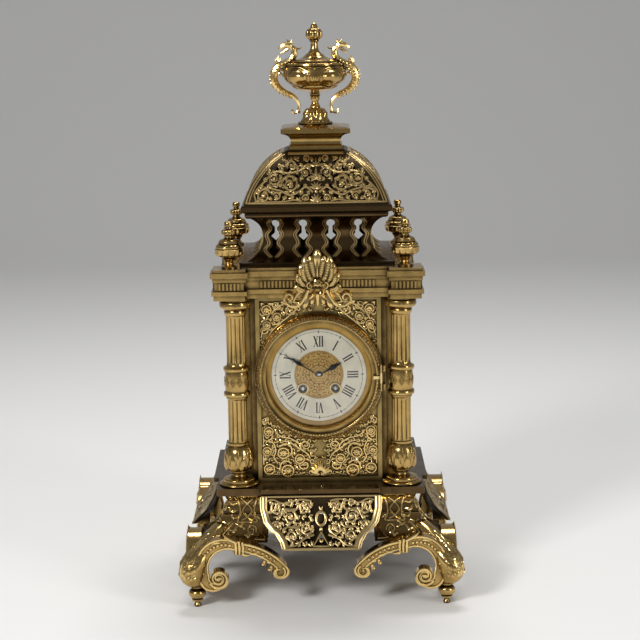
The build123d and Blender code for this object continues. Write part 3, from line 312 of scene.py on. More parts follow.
# The apron solids get the near-black fret ground: painted shade for the fret's openings.
for name, ob in nodes.items():
    family = next((f for f in ("leg", "column", "finial", "panel", "apron") if name.startswith(f)), None)
    finish = FINISH.get(name) or {"panel": field_brass, "apron": fret_shade_ground}.get(family, case_brass)
    ob.data.materials.clear()
    ob.data.materials.append(finish)
print("dressed:", len(FINISH))

# %% [markdown]
# Columns, finials and the urn were turned on a lathe. A ring of vertices is extruded upwards again and
# again and widened or narrowed at each step, which is lathe work seen from above. A row of four numbers
# asks for a curved moulding: it goes to (radius, height) along an arc through a middle point.

# %% Lathe work
def with_arcs(rows, steps=5):
    """Replaces each (r, z, r_mid, z_mid) row by points along the arc through its middle point."""
    out = [rows[0][:2]]
    for row in rows[1:]:
        (x0, y0), (x2, y2) = out[-1], row[:2]
        if len(row) == 4:
            x1, y1 = row[2:]
            cx, cy = 2 * x1 - (x0 + x2) / 2, 2 * y1 - (y0 + y2) / 2
            out += [((1 - t) ** 2 * x0 + 2 * t * (1 - t) * cx + t * t * x2,
                     (1 - t) ** 2 * y0 + 2 * t * (1 - t) * cy + t * t * y2)
                    for t in (i / steps for i in range(1, steps))]
        out.append((x2, y2))
    return out


def lathe(rows, at=(0, 0), sides=48, steps=5):
    """A turning about a vertical axis at (x, y), from rows in millimetres, closed at both ends."""
    rows = with_arcs(rows, steps)
    (r, z), centre = rows[0], (at[0] * MM, at[1] * MM)
    deselect()
    bpy.ops.mesh.primitive_circle_add(vertices=sides, radius=max(r, 0.02) * MM, location=(*centre, z * MM),
                                      fill_type="NGON")
    turning = bpy.context.object
    bpy.ops.object.mode_set(mode="EDIT")
    bpy.ops.mesh.select_all(action="SELECT")
    for r_next, z_next in rows[1:]:
        r_next = max(r_next, 0.02)
        scale = r_next / max(r, 0.02)
        bpy.ops.mesh.extrude_region_move(TRANSFORM_OT_translate={"value": (0, 0, (z_next - z) * MM)})
        bpy.ops.transform.resize(value=(scale, scale, 1), center_override=(*centre, z_next * MM))
        r, z = r_next, z_next
    bpy.ops.object.mode_set(mode="OBJECT")
    return pick(turning)


def flute(ob, count, low, high, depth, at=(0, 0), r_min=0.0, sharp=1.0, phase=0.0):
    """Presses count hollows into a turning between two heights, deepest midway between them for lobes."""
    for v in ob.data.vertices:
        p = ob.matrix_world @ v.co
        x, y, z = p.x / MM - at[0], p.y / MM - at[1], p.z / MM
        r = hypot(x, y)
        if low < z < high and r > r_min:
            swell = sin(pi * (z - low) / (high - low)) ** sharp if sharp else 1.0
            wave = abs(sin(count / 2 * (atan2(y, x) + phase)))
            cut = depth * swell * (1 - wave ** 0.7)
            p.x, p.y = (at[0] + x * (1 - cut / r)) * MM, (at[1] + y * (1 - cut / r)) * MM
            v.co = ob.matrix_world.inverted() @ p
    return ob


# %% [markdown]
# Cast scrollwork is drawn in strokes: a stem winds in to an eye, and petals fan out from it. Each stroke is
# a spline with its own thickness at every point, and one bevelled curve holds them all. The flat drawing is
# then laid over the panel, apron or dome that carries it, so the same pen draws every ornament on the
# clock.

# %% The ornament pen
def spiral(x, y, r, start, turns, hand=1, wide=1.2, fine=0.5, eye=1.5, inner=0.16, steps=0):
    """A volute about (x, y): it starts at radius r, start degrees round, and winds in to an eye."""
    steps = steps or max(10, int(turns * 15))
    points = []
    for i in range(steps + 1):
        t = i / steps
        a = radians(start) + hand * 2 * pi * turns * t
        rr = r * (1 - t) ** 0.85 + r * inner * t
        points.append((x + rr * cos(a), y + rr * sin(a), wide + (fine - wide) * t))
    x_end, y_end, _ = points[-1]
    points.append((x_end * 0.4 + x * 0.6, y_end * 0.4 + y * 0.6, eye * 0.8))
    points.append((x, y, eye))
    return points


def petal(x, y, angle, length, width, curl=0.0, steps=6):
    """A leaf from (x, y): it swells to width a third of the way along and bends by curl degrees."""
    points, a = [(x, y, width * 0.45)], radians(angle)
    for i in range(1, steps + 1):
        t = i / steps
        a += radians(curl) / steps
        x, y = x + cos(a) * length / steps, y + sin(a) * length / steps
        points.append((x, y, width * (0.12 + 1.25 * sin(pi * (0.12 + 0.88 * t) ** 0.8) * (1 - 0.35 * t))))
    return points


def bead(x, y, r, long=1.0):
    """A round bead, drawn as a short run of the pen that swells and closes."""
    return [(x + r * long * t, y, r * (1 - t * t) ** 0.5) for t in (-0.96, -0.75, -0.4, 0.0, 0.4, 0.75, 0.96)]


def stem(points, wide, fine=None, steps=6):
    """A smooth stem through the points (Catmull-Rom), thinning from wide to fine."""
    fine = wide if fine is None else fine
    padded = [points[0]] + list(points) + [points[-1]]
    out, spans = [], len(points) - 1
    for i in range(spans):
        p = [Vector(q) for q in padded[i:i + 4]]
        for j in range(steps + (i == spans - 1)):
            t = j / steps
            q = 0.5 * (2 * p[1] + (p[2] - p[0]) * t + (2 * p[0] - 5 * p[1] + 4 * p[2] - p[3]) * t * t
                       + (3 * p[1] - p[0] - 3 * p[2] + p[3]) * t ** 3)
            out.append((q.x, q.y, wide + (fine - wide) * (i + t) / spans))
    return out


def rosette(x, y, r, petals=6, turn=0.0):
    strokes = [petal(x, y, turn + 360 * i / petals, r, r * 0.34) for i in range(petals)]
    return strokes + [[(x - 0.01, y, r * 0.36), (x + 0.01, y, r * 0.36)]]


def scroll(x, y, r, start, turns=1.4, hand=1, wide=1.1, leaves=4, flower=True):
    """A leafy volute: the winding stem, leaves off its back, and a flower or a ball at its eye."""
    line = spiral(x, y, r, start, turns, hand, wide, wide * 0.5, wide * 0.9)
    strokes = [line]
    for i in range(leaves):
        a = radians(start) + hand * 2 * pi * turns * 0.62 * (i + 0.35) / leaves
        out = r * (1 - 0.62 * (i + 0.35) / leaves) ** 0.85
        px, py, tilt = x + out * cos(a), y + out * sin(a), degrees(a) + hand * 38
        strokes.append(petal(px, py, tilt, r * 0.42, wide * 0.75, hand * 50))
        strokes.append(petal(px, py, tilt + hand * 45, r * 0.30, wide * 0.6, hand * 50))
    if flower:
        strokes += rosette(x, y, r * 0.36, 5, start)
    return strokes


def mirrored(strokes):
    return strokes + [[(-x, y, r) for x, y, r in line] for line in strokes]


def cast(strokes, lay, flat=0.7, sink=0.25, resolution=1):
    """Turns strokes in millimetres into one mesh laid over a surface: lay places each (x, z, height)."""
    data = bpy.data.curves.new("ornament", "CURVE")
    data.dimensions, data.bevel_depth, data.bevel_resolution, data.use_fill_caps = "3D", 1.0, resolution, True
    for line in strokes:
        spline = data.splines.new("POLY")
        spline.points.add(len(line) - 1)
        for point, (x, y, r) in zip(spline.points, line):
            point.co, point.radius = (x, y, 0, 1), max(r, 0.12)
    drawn = bpy.data.objects.new("ornament", data)
    bpy.context.scene.collection.objects.link(drawn)
    pick(drawn)
    bpy.ops.object.convert(target="MESH")
    ob = bpy.context.object
    for v in ob.data.vertices:
        v.co = Vector(lay(v.co.x, v.co.y, v.co.z * flat + sink)) * MM
    return ob


def on_front(face):
    """Lays a drawing on a plane that faces the viewer at the given distance in front of the middle."""
    return lambda x, z, height: (x, -face - height, z)


def over(depth):
    """Lays a drawing over a curved front: depth(z) is its distance in front of the middle at height z."""
    def lay(x, z, height):
        slope = (depth(z + 0.5) - depth(z - 0.5))
        length = hypot(1, slope)
        return x, -depth(z) - height / length, z - height * slope / length
    return lay


# %% [markdown]
# The front panel is a sunk field of scrollwork inside a plain border: two bold rows of volutes under the
# dial, with a shell between them, and lighter sprays that fill the corners above it. One half is drawn and
# mirrored.

# %% Panels
PANEL_BOSSES = [(50, 283, 4.6), (50, 268, 3.6), (40, 276, 4.0), (50, 162, 4.4), (50, 124, 5.2),
                (32, 122, 6.0), (36, 140, 5.4),
                (20, 134, 4.6), (52, 142, 4.2)]


def sprigs(spots, size, wide):
    """Small leafy curls that fill the ground between the big scrolls, each turned its own way."""
    strokes = []
    for i, (x, z) in enumerate(spots):
        turn = (i * 137.5) % 360
        strokes.append(spiral(x, z, size, turn, 0.85, 1 if i % 2 else -1, wide, wide * 0.6, wide * 1.1))
        for lean in (110, 170, 230):
            strokes.append(petal(x, z, turn + lean, size * 1.25, wide * 0.9, 40 if i % 2 else -40))
    return strokes


def clear_spots(pitch, low, high, half, free):
    """A staggered grid of places on the right-hand half of a field, kept where free(x, z) allows."""
    rows = int((high - low) / (pitch * 0.86))
    return [(x, low + (row + 0.5) * pitch * 0.86) for row in range(rows)
            for x in [pitch * (0.5 + col + 0.5 * (row % 2)) for col in range(int(half / pitch))]
            if x < half and free(x, low + (row + 0.5) * pitch * 0.86)]


def rose(x, z, r):
    """A raised flower over a round boss: a rim, petals and a bud."""
    rim = [(x + r * 0.96 * cos(a), z + r * 0.96 * sin(a), r * 0.17) 
           for a in (2 * pi * i / 20 for i in range(21))]
    return [rim] + [petal(x + r * 0.1 * cos(a), z + r * 0.1 * sin(a), degrees(a), r * 0.86, r * 0.21, 25) 
                    for a in (2 * pi * i / 8 for i in range(8))] + [
        bead(x, z, r * 0.27)]


def panel_strokes():
    low = []
    for volute in [(15.5, 127.5, 7.2, 200, 1.5, -1, 1.5),
                   (33.0, 126.0, 7.0, 300, 1.5, 1, 1.4),
                   (34.5, 143.0, 7.6, 250, 1.5, -1, 1.4),
                   (50.0, 124.5, 5.6, 120, 1.5, 1, 1.2),
                   (50.0, 141.0, 6.0, 300, 1.4, 1, 1.2),
                   (51.0, 158.0, 5.2, 270, 1.4, -1, 1.1),
                   (52.8, 172.0, 3.8, 280, 1.3, 1, 0.9, 3),
                   (14.0, 146.5, 5.4, 330, 1.3, 1, 1.2),
                   (24.5, 137.0, 3.6, 90, 1.2, -1, 0.9, 2)]:
        low += scroll(*volute)
    low.append(stem([(15, 120), (24, 117.5), (34, 118.5), (44, 118.0), (54, 119)], 1.2, 0.9))
    low.append(stem([(8.5, 130), (12, 138), (20, 144), (29, 150), (37, 152)], 1.3, 0.8))
    low.append(stem([(42, 130), (45.5, 135), (43.5, 142), (46, 150), (52, 152)], 1.2, 0.8))
    low.append(stem([(55.5, 128), (56, 140), (55.5, 152), (56, 166)], 1.0, 0.7))
    low.append(stem([(20, 148.5), (28, 154), (38, 156.5), (45, 163), (48, 171)], 1.1, 0.7))
    for x, z, a in [(41, 150, 60), (27, 131, 130), (43, 121, 20), (24, 122, 70), (41, 135, 100),
                    (45, 166, 120), (30, 151, 40),
                    (9, 139, 130), (56, 134, 180), (57, 148, 200), (39, 118.5, 60), (47, 131, 80),
                    (55, 165, 150)]:
        low += [petal(x, z, a - 30, 5.0, 1.1, 40), petal(x, z, a + 30, 4.6, 1.0, -40)]
    shell = [petal(0, 119, 90 + d, 11 - abs(d) * 0.03, 1.9) for d in (12, 36, 62, 90)] + rosette(4.4, 133.5,
                                                                                                 3.4, 5)
    high = []
    for volute in [(27.0, 281.5, 5.6, 180, 1.4, -1, 1.2),
                   (40.5, 287.0, 4.6, 200, 1.3, 1, 1.0),
                   (42.5, 273.0, 6.0, 120, 1.4, 1, 1.2),
                   (53.0, 280.5, 4.6, 90, 1.3, -1, 1.0),
                   (53.0, 263.0, 4.8, 100, 1.4, 1, 1.0),
                   (54.5, 250.0, 3.4, 80, 1.2, -1, 0.8, 3)]:
        high += scroll(*volute)
    high.append(stem([(18, 289), (30, 290), (44, 281), (51, 272), (56, 255)], 1.2, 0.8))
    high.append(stem([(20, 284), (30, 275), (38, 268.5), (47, 259), (54, 243)], 1.2, 0.7))
    for x, z, a in [(33, 277, 60), (48, 289, 200), (36, 290, 190), (48, 268, 240), (50, 256, 280),
                    (34, 283, 20), (55, 272, 200),
                    (56, 289, 200), (22, 280, 330)]:
        high += [petal(x, z, a - 30, 4.6, 1.0, 40), petal(x, z, a + 30, 4.2, 0.9, -40)]
    beyond_ring = lambda x, z: hypot(x, z - DIAL_Z) > 64.5 and hypot(x, z - 126) > 11 and x > 3
    low += sprigs(clear_spots(5.4, 117, 178, 57, beyond_ring), 2.0, 0.85)
    high += sprigs(clear_spots(5.4, 262, 292, 57, beyond_ring), 2.0, 0.85)
    return mirrored(low + shell + high)


def boss_flowers():
    half = [line for x, z, r in PANEL_BOSSES for line in rose(x, z, r)]
    shell = [petal(0, 118.6, 90 + d, 15.5 - abs(d) * 0.05, 1.7, 0) for d in range(12, 100, 21)]
    shell += [spiral(8.6, 119.6, 3.0, 150, 1.1, -1, 1.0, 0.7, 1.3),
              spiral(7.6, 131.6, 2.6, 230, 1.1, 1, 0.9, 0.6, 1.2)]
    return mirrored(half + shell) + [petal(0, 118.6, 90, 15.5, 1.7), [(0, 119.6, 2.2), (0.02, 119.6, 2.2)],
                                     [(0, 136.0, 1.6), (0.02, 136.0, 1.6)]]


ornament = cast(panel_strokes(), on_front(PANEL_Y - 2.2), flat=1.0, sink=0.6)
flowers = cast(boss_flowers(), on_front(PANEL_Y + 0.6), flat=0.8, sink=0.1)
joined(ornament, flowers)
front_scrolls = settle(ornament, "panel_scrolls_front", relief_brass)
panel_copies = quarter_turns(front_scrolls, other_sides("panel_scrolls"))
print("panel scrollwork:", len(front_scrolls.data.polygons), "faces,", len(panel_copies), "copies")

# %% [markdown]
# The bowed apron under the case is a fret: bright scrolls over a dark ground, round an oval boss with a
# hollow centre. The solid gives the bow, and its dark ground is painted shade for the fret's openings. The
# pen draws the fret on the bow's outline, and the dark discs at the holes and at the boss's centre are
# painted shade as well.

# %% Aprons
def apron_depth(z):
    """The apron's distance in front of the middle, from the arc of its solid."""
    t = max(0.0, min(1.0, (104.0 - z) / 46.0))
    return 102.5 + 27.5 * t ** 1.42


def apron_strokes():
    half = []
    for volute in [(15.5, 92.5, 6.0, 180, 1.5, -1, 1.15, 5),
                   (14.0, 75.5, 6.0, 160, 1.5, 1, 1.15, 5),
                   (30.0, 85.0, 7.0, 20, 1.6, 1, 1.25, 6),
                   (29.0, 68.5, 5.0, 200, 1.4, -1, 1.05),
                   (43.5, 93.5, 5.6, 220, 1.4, 1, 1.1),
                   (41.5, 77.0, 4.4, 100, 1.3, -1, 1.0),
                   (30.0, 98.5, 3.6, 0, 1.2, -1, 0.9, 3)]:
        half += scroll(*volute)
    half.append(stem([(9, 99), (20, 100.5), (36, 97), (46, 100.5), (53, 99)], 1.0, 0.7))
    half.append(stem([(7, 70), (17, 66.5), (24, 61.5), (34, 60.5)], 1.0, 0.7))
    half.append(stem([(22, 95), (25, 91), (36, 92), (39, 86), (46, 85)], 1.0, 0.7))
    half.append(stem([(20, 79), (24, 76), (33, 76.5), (38, 71)], 1.0, 0.7))
    for x, z, a in [(50, 88, 120), (22, 70, 100), (36, 66, 80), (37, 93, 250), (8, 81, 60), (24, 101, 250),
                    (49, 99, 250), (21, 85, 0)]:
        half += [petal(x, z, a - 28, 4.4, 1.0, 40), petal(x, z, a + 28, 4.2, 0.9, -40)]
    oval = [(4.6 * cos(a), 83.5 + 5.8 * sin(a), 1.25) for a in (pi * i / 10 - pi / 2 for i in range(11))]
    triangle = [(0, 72, 0.9), (7.5, 60.5, 0.9), (0, 60.5, 0.9)]
    edge = [(58.0, 103.0, 1.3), (58.0, 92.0, 1.3), (54.6, 80.5, 1.4), (48, 73.5, 1.4), (43.6, 71.5, 1.4),
            (38.8, 64.5, 1.4),
            (37, 58.6, 1.4)]
    rails = [[(0, 58.2, 1.2), (37, 58.2, 1.2)], [(0, 103.2, 0.9), (58, 103.2, 0.9)]]
    half += sprigs(clear_spots(6.4, 60, 101, 50, lambda x, z: x > 8 and x < 38 + (z - 60) * 0.36 and x < 51),
                   2.2, 0.8)
    border = [(x - 3.0, z, 2.9) for x, z, _ in edge]
    half += [border, oval, triangle, edge] + rails + [petal(0, 63.5, 60, 4, 0.7), petal(0, 90, 70, 4.5, 0.8),
                                                      petal(0, 76, 290, 3.5, 0.8)]
    return mirrored(half)


APRON_HOLES = [(14, 95, 3.2), (14, 72, 3.0), (26, 84, 4.0), (38, 95, 3.4), (26, 67, 2.8), (24, 99, 2.0),
               (46, 86, 2.8)]
fret = settle(cast(apron_strokes(), over(apron_depth), flat=0.45, sink=0.25), "apron_fret_front",
              engraved_line)
quarter_turns(fret, other_sides("apron_fret"))
# Dark discs sunk at the fret's holes and in the boss's hollow centre: painted shade.
ground = [bead(x, z, r + 1.2) for x, z, r in APRON_HOLES]
ground = mirrored(ground) + [[(0, 80.5, 3.6), (0, 84, 4.2), (0, 87.5, 3.6)], [(0, 64.6, 3.6), (0, 67.4, 3.0)]]
ground = settle(cast(ground, over(apron_depth), flat=0.1, sink=-0.9, resolution=2), "apron_ground_front",
                fret_shade_ground)
quarter_turns(ground, other_sides("apron_ground"))
print("apron fret:", len(fret.data.polygons), "faces")

# %% [markdown]
# The scroll legs are cast with raised fillets along both edges of each scroll, a string of beads between
# them, a tie where the two scrolls meet and an acanthus leaf over the shoulder. The solids give the
# scrolls' bodies.

# %% Legs
def arc(start, middle, end, wide, fine=None, steps=12):
    """A stroke along the circle through three points."""
    (ax, ay), (bx, by), (cx, cy) = start, middle, end
    d = 2 * (ax * (by - cy) + bx * (cy - ay) + cx * (ay - by))
    ux = ((ax * ax + ay * ay) * (by - cy) + (bx * bx + by * by) * (cy - ay)
          + (cx * cx + cy * cy) * (ay - by)) / d
    uy = ((ax * ax + ay * ay) * (cx - bx) + (bx * bx + by * by) * (ax - cx)
          + (cx * cx + cy * cy) * (bx - ax)) / d
    r, a0, a1, a2 = hypot(ax - ux, ay - uy), *(atan2(y - uy, x - ux) for x, y in (start, middle, end))
    turn = (a2 - a0) % (2 * pi)
    if (a1 - a0) % (2 * pi) > turn:
        turn -= 2 * pi
    fine = wide if fine is None else fine
    return [(ux + r * cos(a0 + turn * i / steps), uy + r * sin(a0 + turn * i / steps),
             wide + (fine - wide) * i / steps)
            for i in range(steps + 1)]


def leg_strokes():
    strokes = [arc((40, 65), (5, 57.4), (3.2, 33), 1.5), arc((3.2, 33), (9.8, 19.8), (23.5, 21), 1.5),
               arc((23.5, 21), (30, 28.6), (24, 35), 1.6, 1.2),
               arc((24, 35), (18.8, 33.5), (19.2, 29), 1.2, 1.5),
               arc((40, 58), (14, 51), (12.2, 33), 1.2),
               arc((12.2, 33), (14.2, 26.4), (20.6, 25.6), 1.2, 1.0),
               arc((44, 64.4), (66, 57.6), (86, 42), 1.4), arc((86, 42), (88, 34), (81, 30.6), 1.6),
               arc((81, 30.6), (75.6, 34), (79, 39), 1.5, 1.8),
               arc((44, 57.6), (63, 51.4), (79, 39.4), 1.1), [(81.4, 35.8, 2.6), (81.5, 35.8, 2.6)],
               [(22.6, 29.4, 2.4), (22.7, 29.4, 2.4)]]
    for along in (arc((38, 61.4), (9.4, 54.4), (7.6, 33), 1, 1, 14)[1:],
                  arc((46, 61), (65, 54.6), (81, 42), 1, 1, 9)[1:-1]):
        for (x, z, _), (x2, z2, _) in zip(along, along[1:]):
            strokes.append(petal(x, z, degrees(atan2(z2 - z, x2 - x)), 3.4, 1.5))
    for shift in (-3.4, 0, 3.4):
        strokes.append([(41.6 + shift, 67.2 - abs(shift) * 0.3, 1.5), (42.4 + shift, 61, 2.1),
                        (42.2 + shift, 54.0, 1.4)])
    strokes += [petal(44, 55, -40, 9, 1.6, 50), petal(52, 55, -20, 8, 1.3, 40),
                petal(60, 52.6, -30, 7, 1.2, 40), petal(68, 47.5, -50, 7, 1.2, 40)]
    strokes += [petal(36, 67, 160, 12, 1.5, -30), petal(24, 66, 170, 10, 1.4, 40)]
    strokes += [spiral(21.6, 29.6, 9.4, 205, 1.5, 1, 1.9, 1.1, 3.0, inner=0.3),
                spiral(21.6, 29.6, 6.0, 215, 0.9, 1, 0.9, 0.8, 2.8, inner=0.5)]
    strokes += [spiral(80.6, 35.8, 5.8, 60, 1.0, -1, 1.5, 1.0, 2.6, inner=0.35),
                petal(73, 44, 250, 8, 1.7, 30), petal(66, 49, 260, 7, 1.6, 30),
                bead(70.5, 38.6, 1.6), bead(64.4, 43.6, 1.4)]
    return strokes


SHOULDER = [(21.2, 123.0, 6.2), (33.0, 125.5, 12.0), (46.0, 122.5, 13.5), (58.0, 114.5, 12.5),
            (68.0, 105.0, 9.5), (76.0, 96.0, 6.0)]


def on_shoulder(s, z, height):
    """Lays a drawing round the leafy shoulder over the foot; s runs across the leaf."""
    for (z0, at0, r0), (z1, at1, r1) in zip(SHOULDER, SHOULDER[1:]):
        if z <= z1 or (z1, at1, r1) == SHOULDER[-1]:
            t = (z - z0) / (z1 - z0)
            at, r = at0 + (at1 - at0) * t, r0 + (r1 - r0) * t
            break
    a = radians(-45) + s / max(r, 5.0)
    return at + (r + height) * cos(a), -at + (r + height) * sin(a), z


def leaf_strokes():
    strokes = [stem([(0, 24), (0, 40), (0, 56), (0, 70)], 1.9, 0.9)]
    for i, z in enumerate((24.5, 29, 33.5, 38, 42.5, 47, 51.5, 56, 60.5)):
        for side in (-1, 1):
            strokes.append(petal(side * 1.2, z, 90 - side * 34, 10.5 - i * 0.5, 1.5, side * 34))
            strokes.append(petal(side * 5.6, z + 3.6, 90 - side * 58, 8.4 - i * 0.4, 1.25, side * 44))
            strokes.append(petal(side * 10.6, z + 6.0, 90 - side * 70, 5.4 - i * 0.3, 1.0, side * 40))
    return strokes


LEG_FACE = 9.0
face = FOOT_AT + LEG_FACE
front = cast(leg_strokes(), lambda u, z, h: (FOOT_AT - u, -face - h, z), flat=0.75, sink=0.2)
flank = cast(leg_strokes(), lambda u, z, h: (face + h, u - FOOT_AT, z), flat=0.75, sink=0.2)
leaf = cast(leaf_strokes(), on_shoulder, flat=0.7, sink=0.3)
VOLUTE_AT, VOLUTE_Z, VOLUTE_R, LEG_THICK = 21.6, 29.6, 8.2, 13.0
blocks = []
for turned_flank in (False, True):
    across, deep = (FOOT_AT - VOLUTE_AT) * MM, (face - LEG_THICK / 2) * MM
    place, tilt = ((deep, -across), (0, radians(90), 0)) if turned_flank else ((across, -deep),
                                                                               (radians(90), 0, 0))
    bpy.ops.mesh.primitive_cylinder_add(vertices=40, radius=VOLUTE_R * MM, depth=(LEG_THICK - 0.6) * MM,
                                        location=(*place, VOLUTE_Z * MM), rotation=tilt)
    bpy.ops.object.transform_apply(location=True, rotation=True, scale=True)
    blocks.append(bpy.context.object)
joined(front, flank, leaf, *blocks)
CORNERS = ("front_right", "back_right", "back_left", "front_left")
leg_scrolls = settle(front, "leg_scrolls_front_right", relief_brass)
quarter_turns(leg_scrolls, [f"leg_scrolls_{corner}" for corner in CORNERS[1:]])
print("leg scrolls:", len(leg_scrolls.data.polygons), "faces")

# %% [markdown]
# The four corner arms of the base carry engraved strapwork: an hourglass frame with crossing bands, a small
# volute and a triangle. They follow the hollow curve of the base.

# %% Strapwork on the corner arms
def circle_depth(low, middle, high):
    """Distance in front of the middle against height, along the arc through three such points."""
    path = arc((low[0], low[1]), (middle[0], middle[1]), (high[0], high[1]), 1, 1, 24)

    def depth(z):
        for (d0, z0, _), (d1, z1, _) in zip(path, path[1:]):
            if (z0 - z) * (z1 - z) <= 0 and z0 != z1:
                return d0 + (d1 - d0) * (z - z0) / (z1 - z0)
        return path[0][0] if abs(z - path[0][1]) < abs(z - path[-1][1]) else path[-1][0]
    return depth


lower_arm, upper_arm = circle_depth((118, 62), (102, 70), (96, 84)), circle_depth((96, 84), (91, 95),
                                                                                  (95, 104))
arm_depth = lambda z: lower_arm(z) if z < 84 else upper_arm(z)
strap = []
for side in (-1, 1):
    frame_line = [(72 + side * 10.5, 101), (72 + side * 7.4, 92), (72 + side * 7.0, 84),
                  (72 + side * 10.0, 77)]
    strap += [stem(frame_line, 1.3),
              stem([(72 + side * 6, 99), (72, 93.5), (72 - side * 4.4, 87), (72, 81.5),
                    (72 + side * 5.5, 78.5)], 1.1),
              petal(72 + side * 9.2, 97, 90 - side * 60, 5.0, 1.1, side * 40),
              [(72 + side * 3.4, 88, 1.3), (72 + side * 3.5, 88, 1.3)],
              petal(72 + side * 9.0, 82, 90 - side * 110, 4.4, 1.0, -side * 40)]
strap += [[(61.5, 101.4, 0.9), (82.5, 101.4, 0.9)], [(62, 76.8, 0.9), (82, 76.8, 0.9)],
          [(72, 98.4, 1.2), (72.1, 98.4, 1.2)],
          [(72, 80.6, 1.0), (72.1, 80.6, 1.0)], spiral(68, 69.5, 4.8, 200, 1.4, -1, 1.0, 0.6, 1.3),
          petal(74, 71, 10, 8, 1.0, 30)]
strap += [[(54.5, 63.4, 0.7), (64.5, 63.4, 0.7), (57, 68.2, 0.7), (54.5, 63.4, 0.7)],
          [(57.8, 65.2, 0.9), (57.9, 65.2, 0.9)],
          stem([(59.5, 101), (59.8, 92), (57.5, 84), (53.2, 74), (52.8, 64)], 1.3),
          stem([(86, 76), (92, 71), (98, 66), (106, 63.6)], 1.1)]
for i, (x, z) in enumerate([(86, 80), (88, 86), (87, 92), (88, 98), (92, 74), (79, 72), (99, 69), (85, 68),
                            (70, 64.6), (91, 64.8)]):
    strap += [petal(x, z, 150 - i * 8, 6.5, 1.3, 50), petal(x, z, 95 - i * 6, 5.4, 1.1, -50)]
arms = settle(cast(mirrored(strap), over(arm_depth), flat=0.7, sink=0.2), "arm_strapwork_front", relief_brass)
quarter_turns(arms, other_sides("arm_strapwork"))
print("strapwork:", len(arms.data.polygons), "faces")

# %% [markdown]
# Each column is five castings threaded on a rod: moulded base with a leafy bulb, fluted shaft, belted knop,
# a second shaft and a capital. One turning gives the outline, the flutes are pressed in, and leaves are
# wrapped round it.

# %% Columns
def around(at, radius):
    """Lays a drawing round a vertical axis: x runs round it, at the radius given for each height."""
    def lay(x, z, height):
        r = radius(z)
        a = x / r + radians(-90)
        return at[0] + (r + height) * cos(a), at[1] + (r + height) * sin(a), z
    return lay


column_rows = [(0, 111), (18.3, 111), (18.3, 113.4, 19.2, 112.2), (15.3, 114.4), (15.3, 115.6),
               (12.8, 117.4, 14.8, 117.2),
               (9, 118.4), (7.2, 122.5, 7.0, 120.2), (9.6, 124.4), (9.6, 125), (7.0, 125.2),
               (13.4, 135, 12.2, 128), (9.6, 150, 13.2, 144),
               (10.8, 151.2), (10.8, 153), (9.4, 154), (9.4, 196.5), (10.6, 197.5), (10.6, 199.5),
               (12.6, 200.2), (13.0, 202.2),
               (12.4, 204.0), (11.0, 204.6), (11.6, 209), (11.6, 219.5), (11.0, 224), (12.4, 224.6),
               (13.0, 226.4), (12.6, 228.3),
               (10.6, 229), (9.6, 230.5), (9.4, 231.5), (9.4, 279), (10.6, 280), (11.0, 283.5), (10.0, 285),
               (15.0, 290.5, 14.6, 287),
               (12.6, 293.4, 14.6, 293), (14.0, 294), (14.0, 296), (0, 296)]
spot = (COLUMN_AT, -COLUMN_AT)
shaft = lathe(column_rows, at=spot, sides=96)
for low, high in ((154.5, 196.2), (231.6, 278.8)):
    pick(shaft)
    bpy.ops.object.mode_set(mode="EDIT")
    for cut in (low, low + 2.5, high - 2.5, high):
        bpy.ops.mesh.select_all(action="SELECT")
        bpy.ops.mesh.bisect(plane_co=(*(v * MM for v in spot), cut * MM), plane_no=(0, 0, 1))
    bpy.ops.object.mode_set(mode="OBJECT")
    flute(shaft, 12, low, high, 1.7, at=spot, sharp=0.12)
leafy = []
for i in range(8):
    u = (i + 0.5) * 2 * pi * 12 / 8
    leafy += [petal(u, 126, 90, 20, 2.7), petal(u - 1.2, 127, 118, 9, 1.3, -20),
              petal(u + 1.2, 127, 62, 9, 1.3, 20),
              petal(u - 4.7, 130, 90, 18, 1.5), [(u, 126 + 21.5, 0.9), (u, 126 + 21.6, 0.9)]]
bulb = cast(leafy, lambda x, z,
            h: around(spot, lambda _: 12.0)(x, z,
                                            h + (13.0 - 12.0) * sin(pi * min(max((z - 125) / 25, 0), 1))),
            flat=0.6)
band = []
for i in range(10):
    u = i * 2 * pi * 11.6 / 10
    band += [[(u - 2.6, 214.3, 0.5), (u, 218.4, 0.5), (u + 2.6, 214.3, 0.5), (u, 210.2, 0.5),
              (u - 2.6, 214.3, 0.5)], bead(u, 214.3, 1.0)]
belt = cast(band, around(spot, lambda z: 11.6), flat=0.7)
crown = []
for i in range(12):
    u = i * 2 * pi * 12.4 / 12
    crown += [petal(u, 284.6, 90, 6.4, 1.7), petal(u + 3.2, 285.4, 90, 4.6, 1.0)]
capital = cast(crown, around(spot, lambda z: 10.4 + 4.4 * min(max((z - 285) / 5, 0), 1)), flat=0.6)
joined(shaft, bulb, belt, capital)
column = settle(shaft, "column_dressed_front_right", case_brass,
                stands_for=["column_front_right"], angle=50)
quarter_turns(column, [f"column_dressed_{corner}" for corner in CORNERS[1:]],
              [f"column_{corner}" for corner in CORNERS[1:]])
print("column:", len(column.data.polygons), "faces")

# %% [markdown]
# The corner finials are lobed vases: the swelling of the turning is pressed into twelve gadroons, and the
# smaller bulb above it into ten.

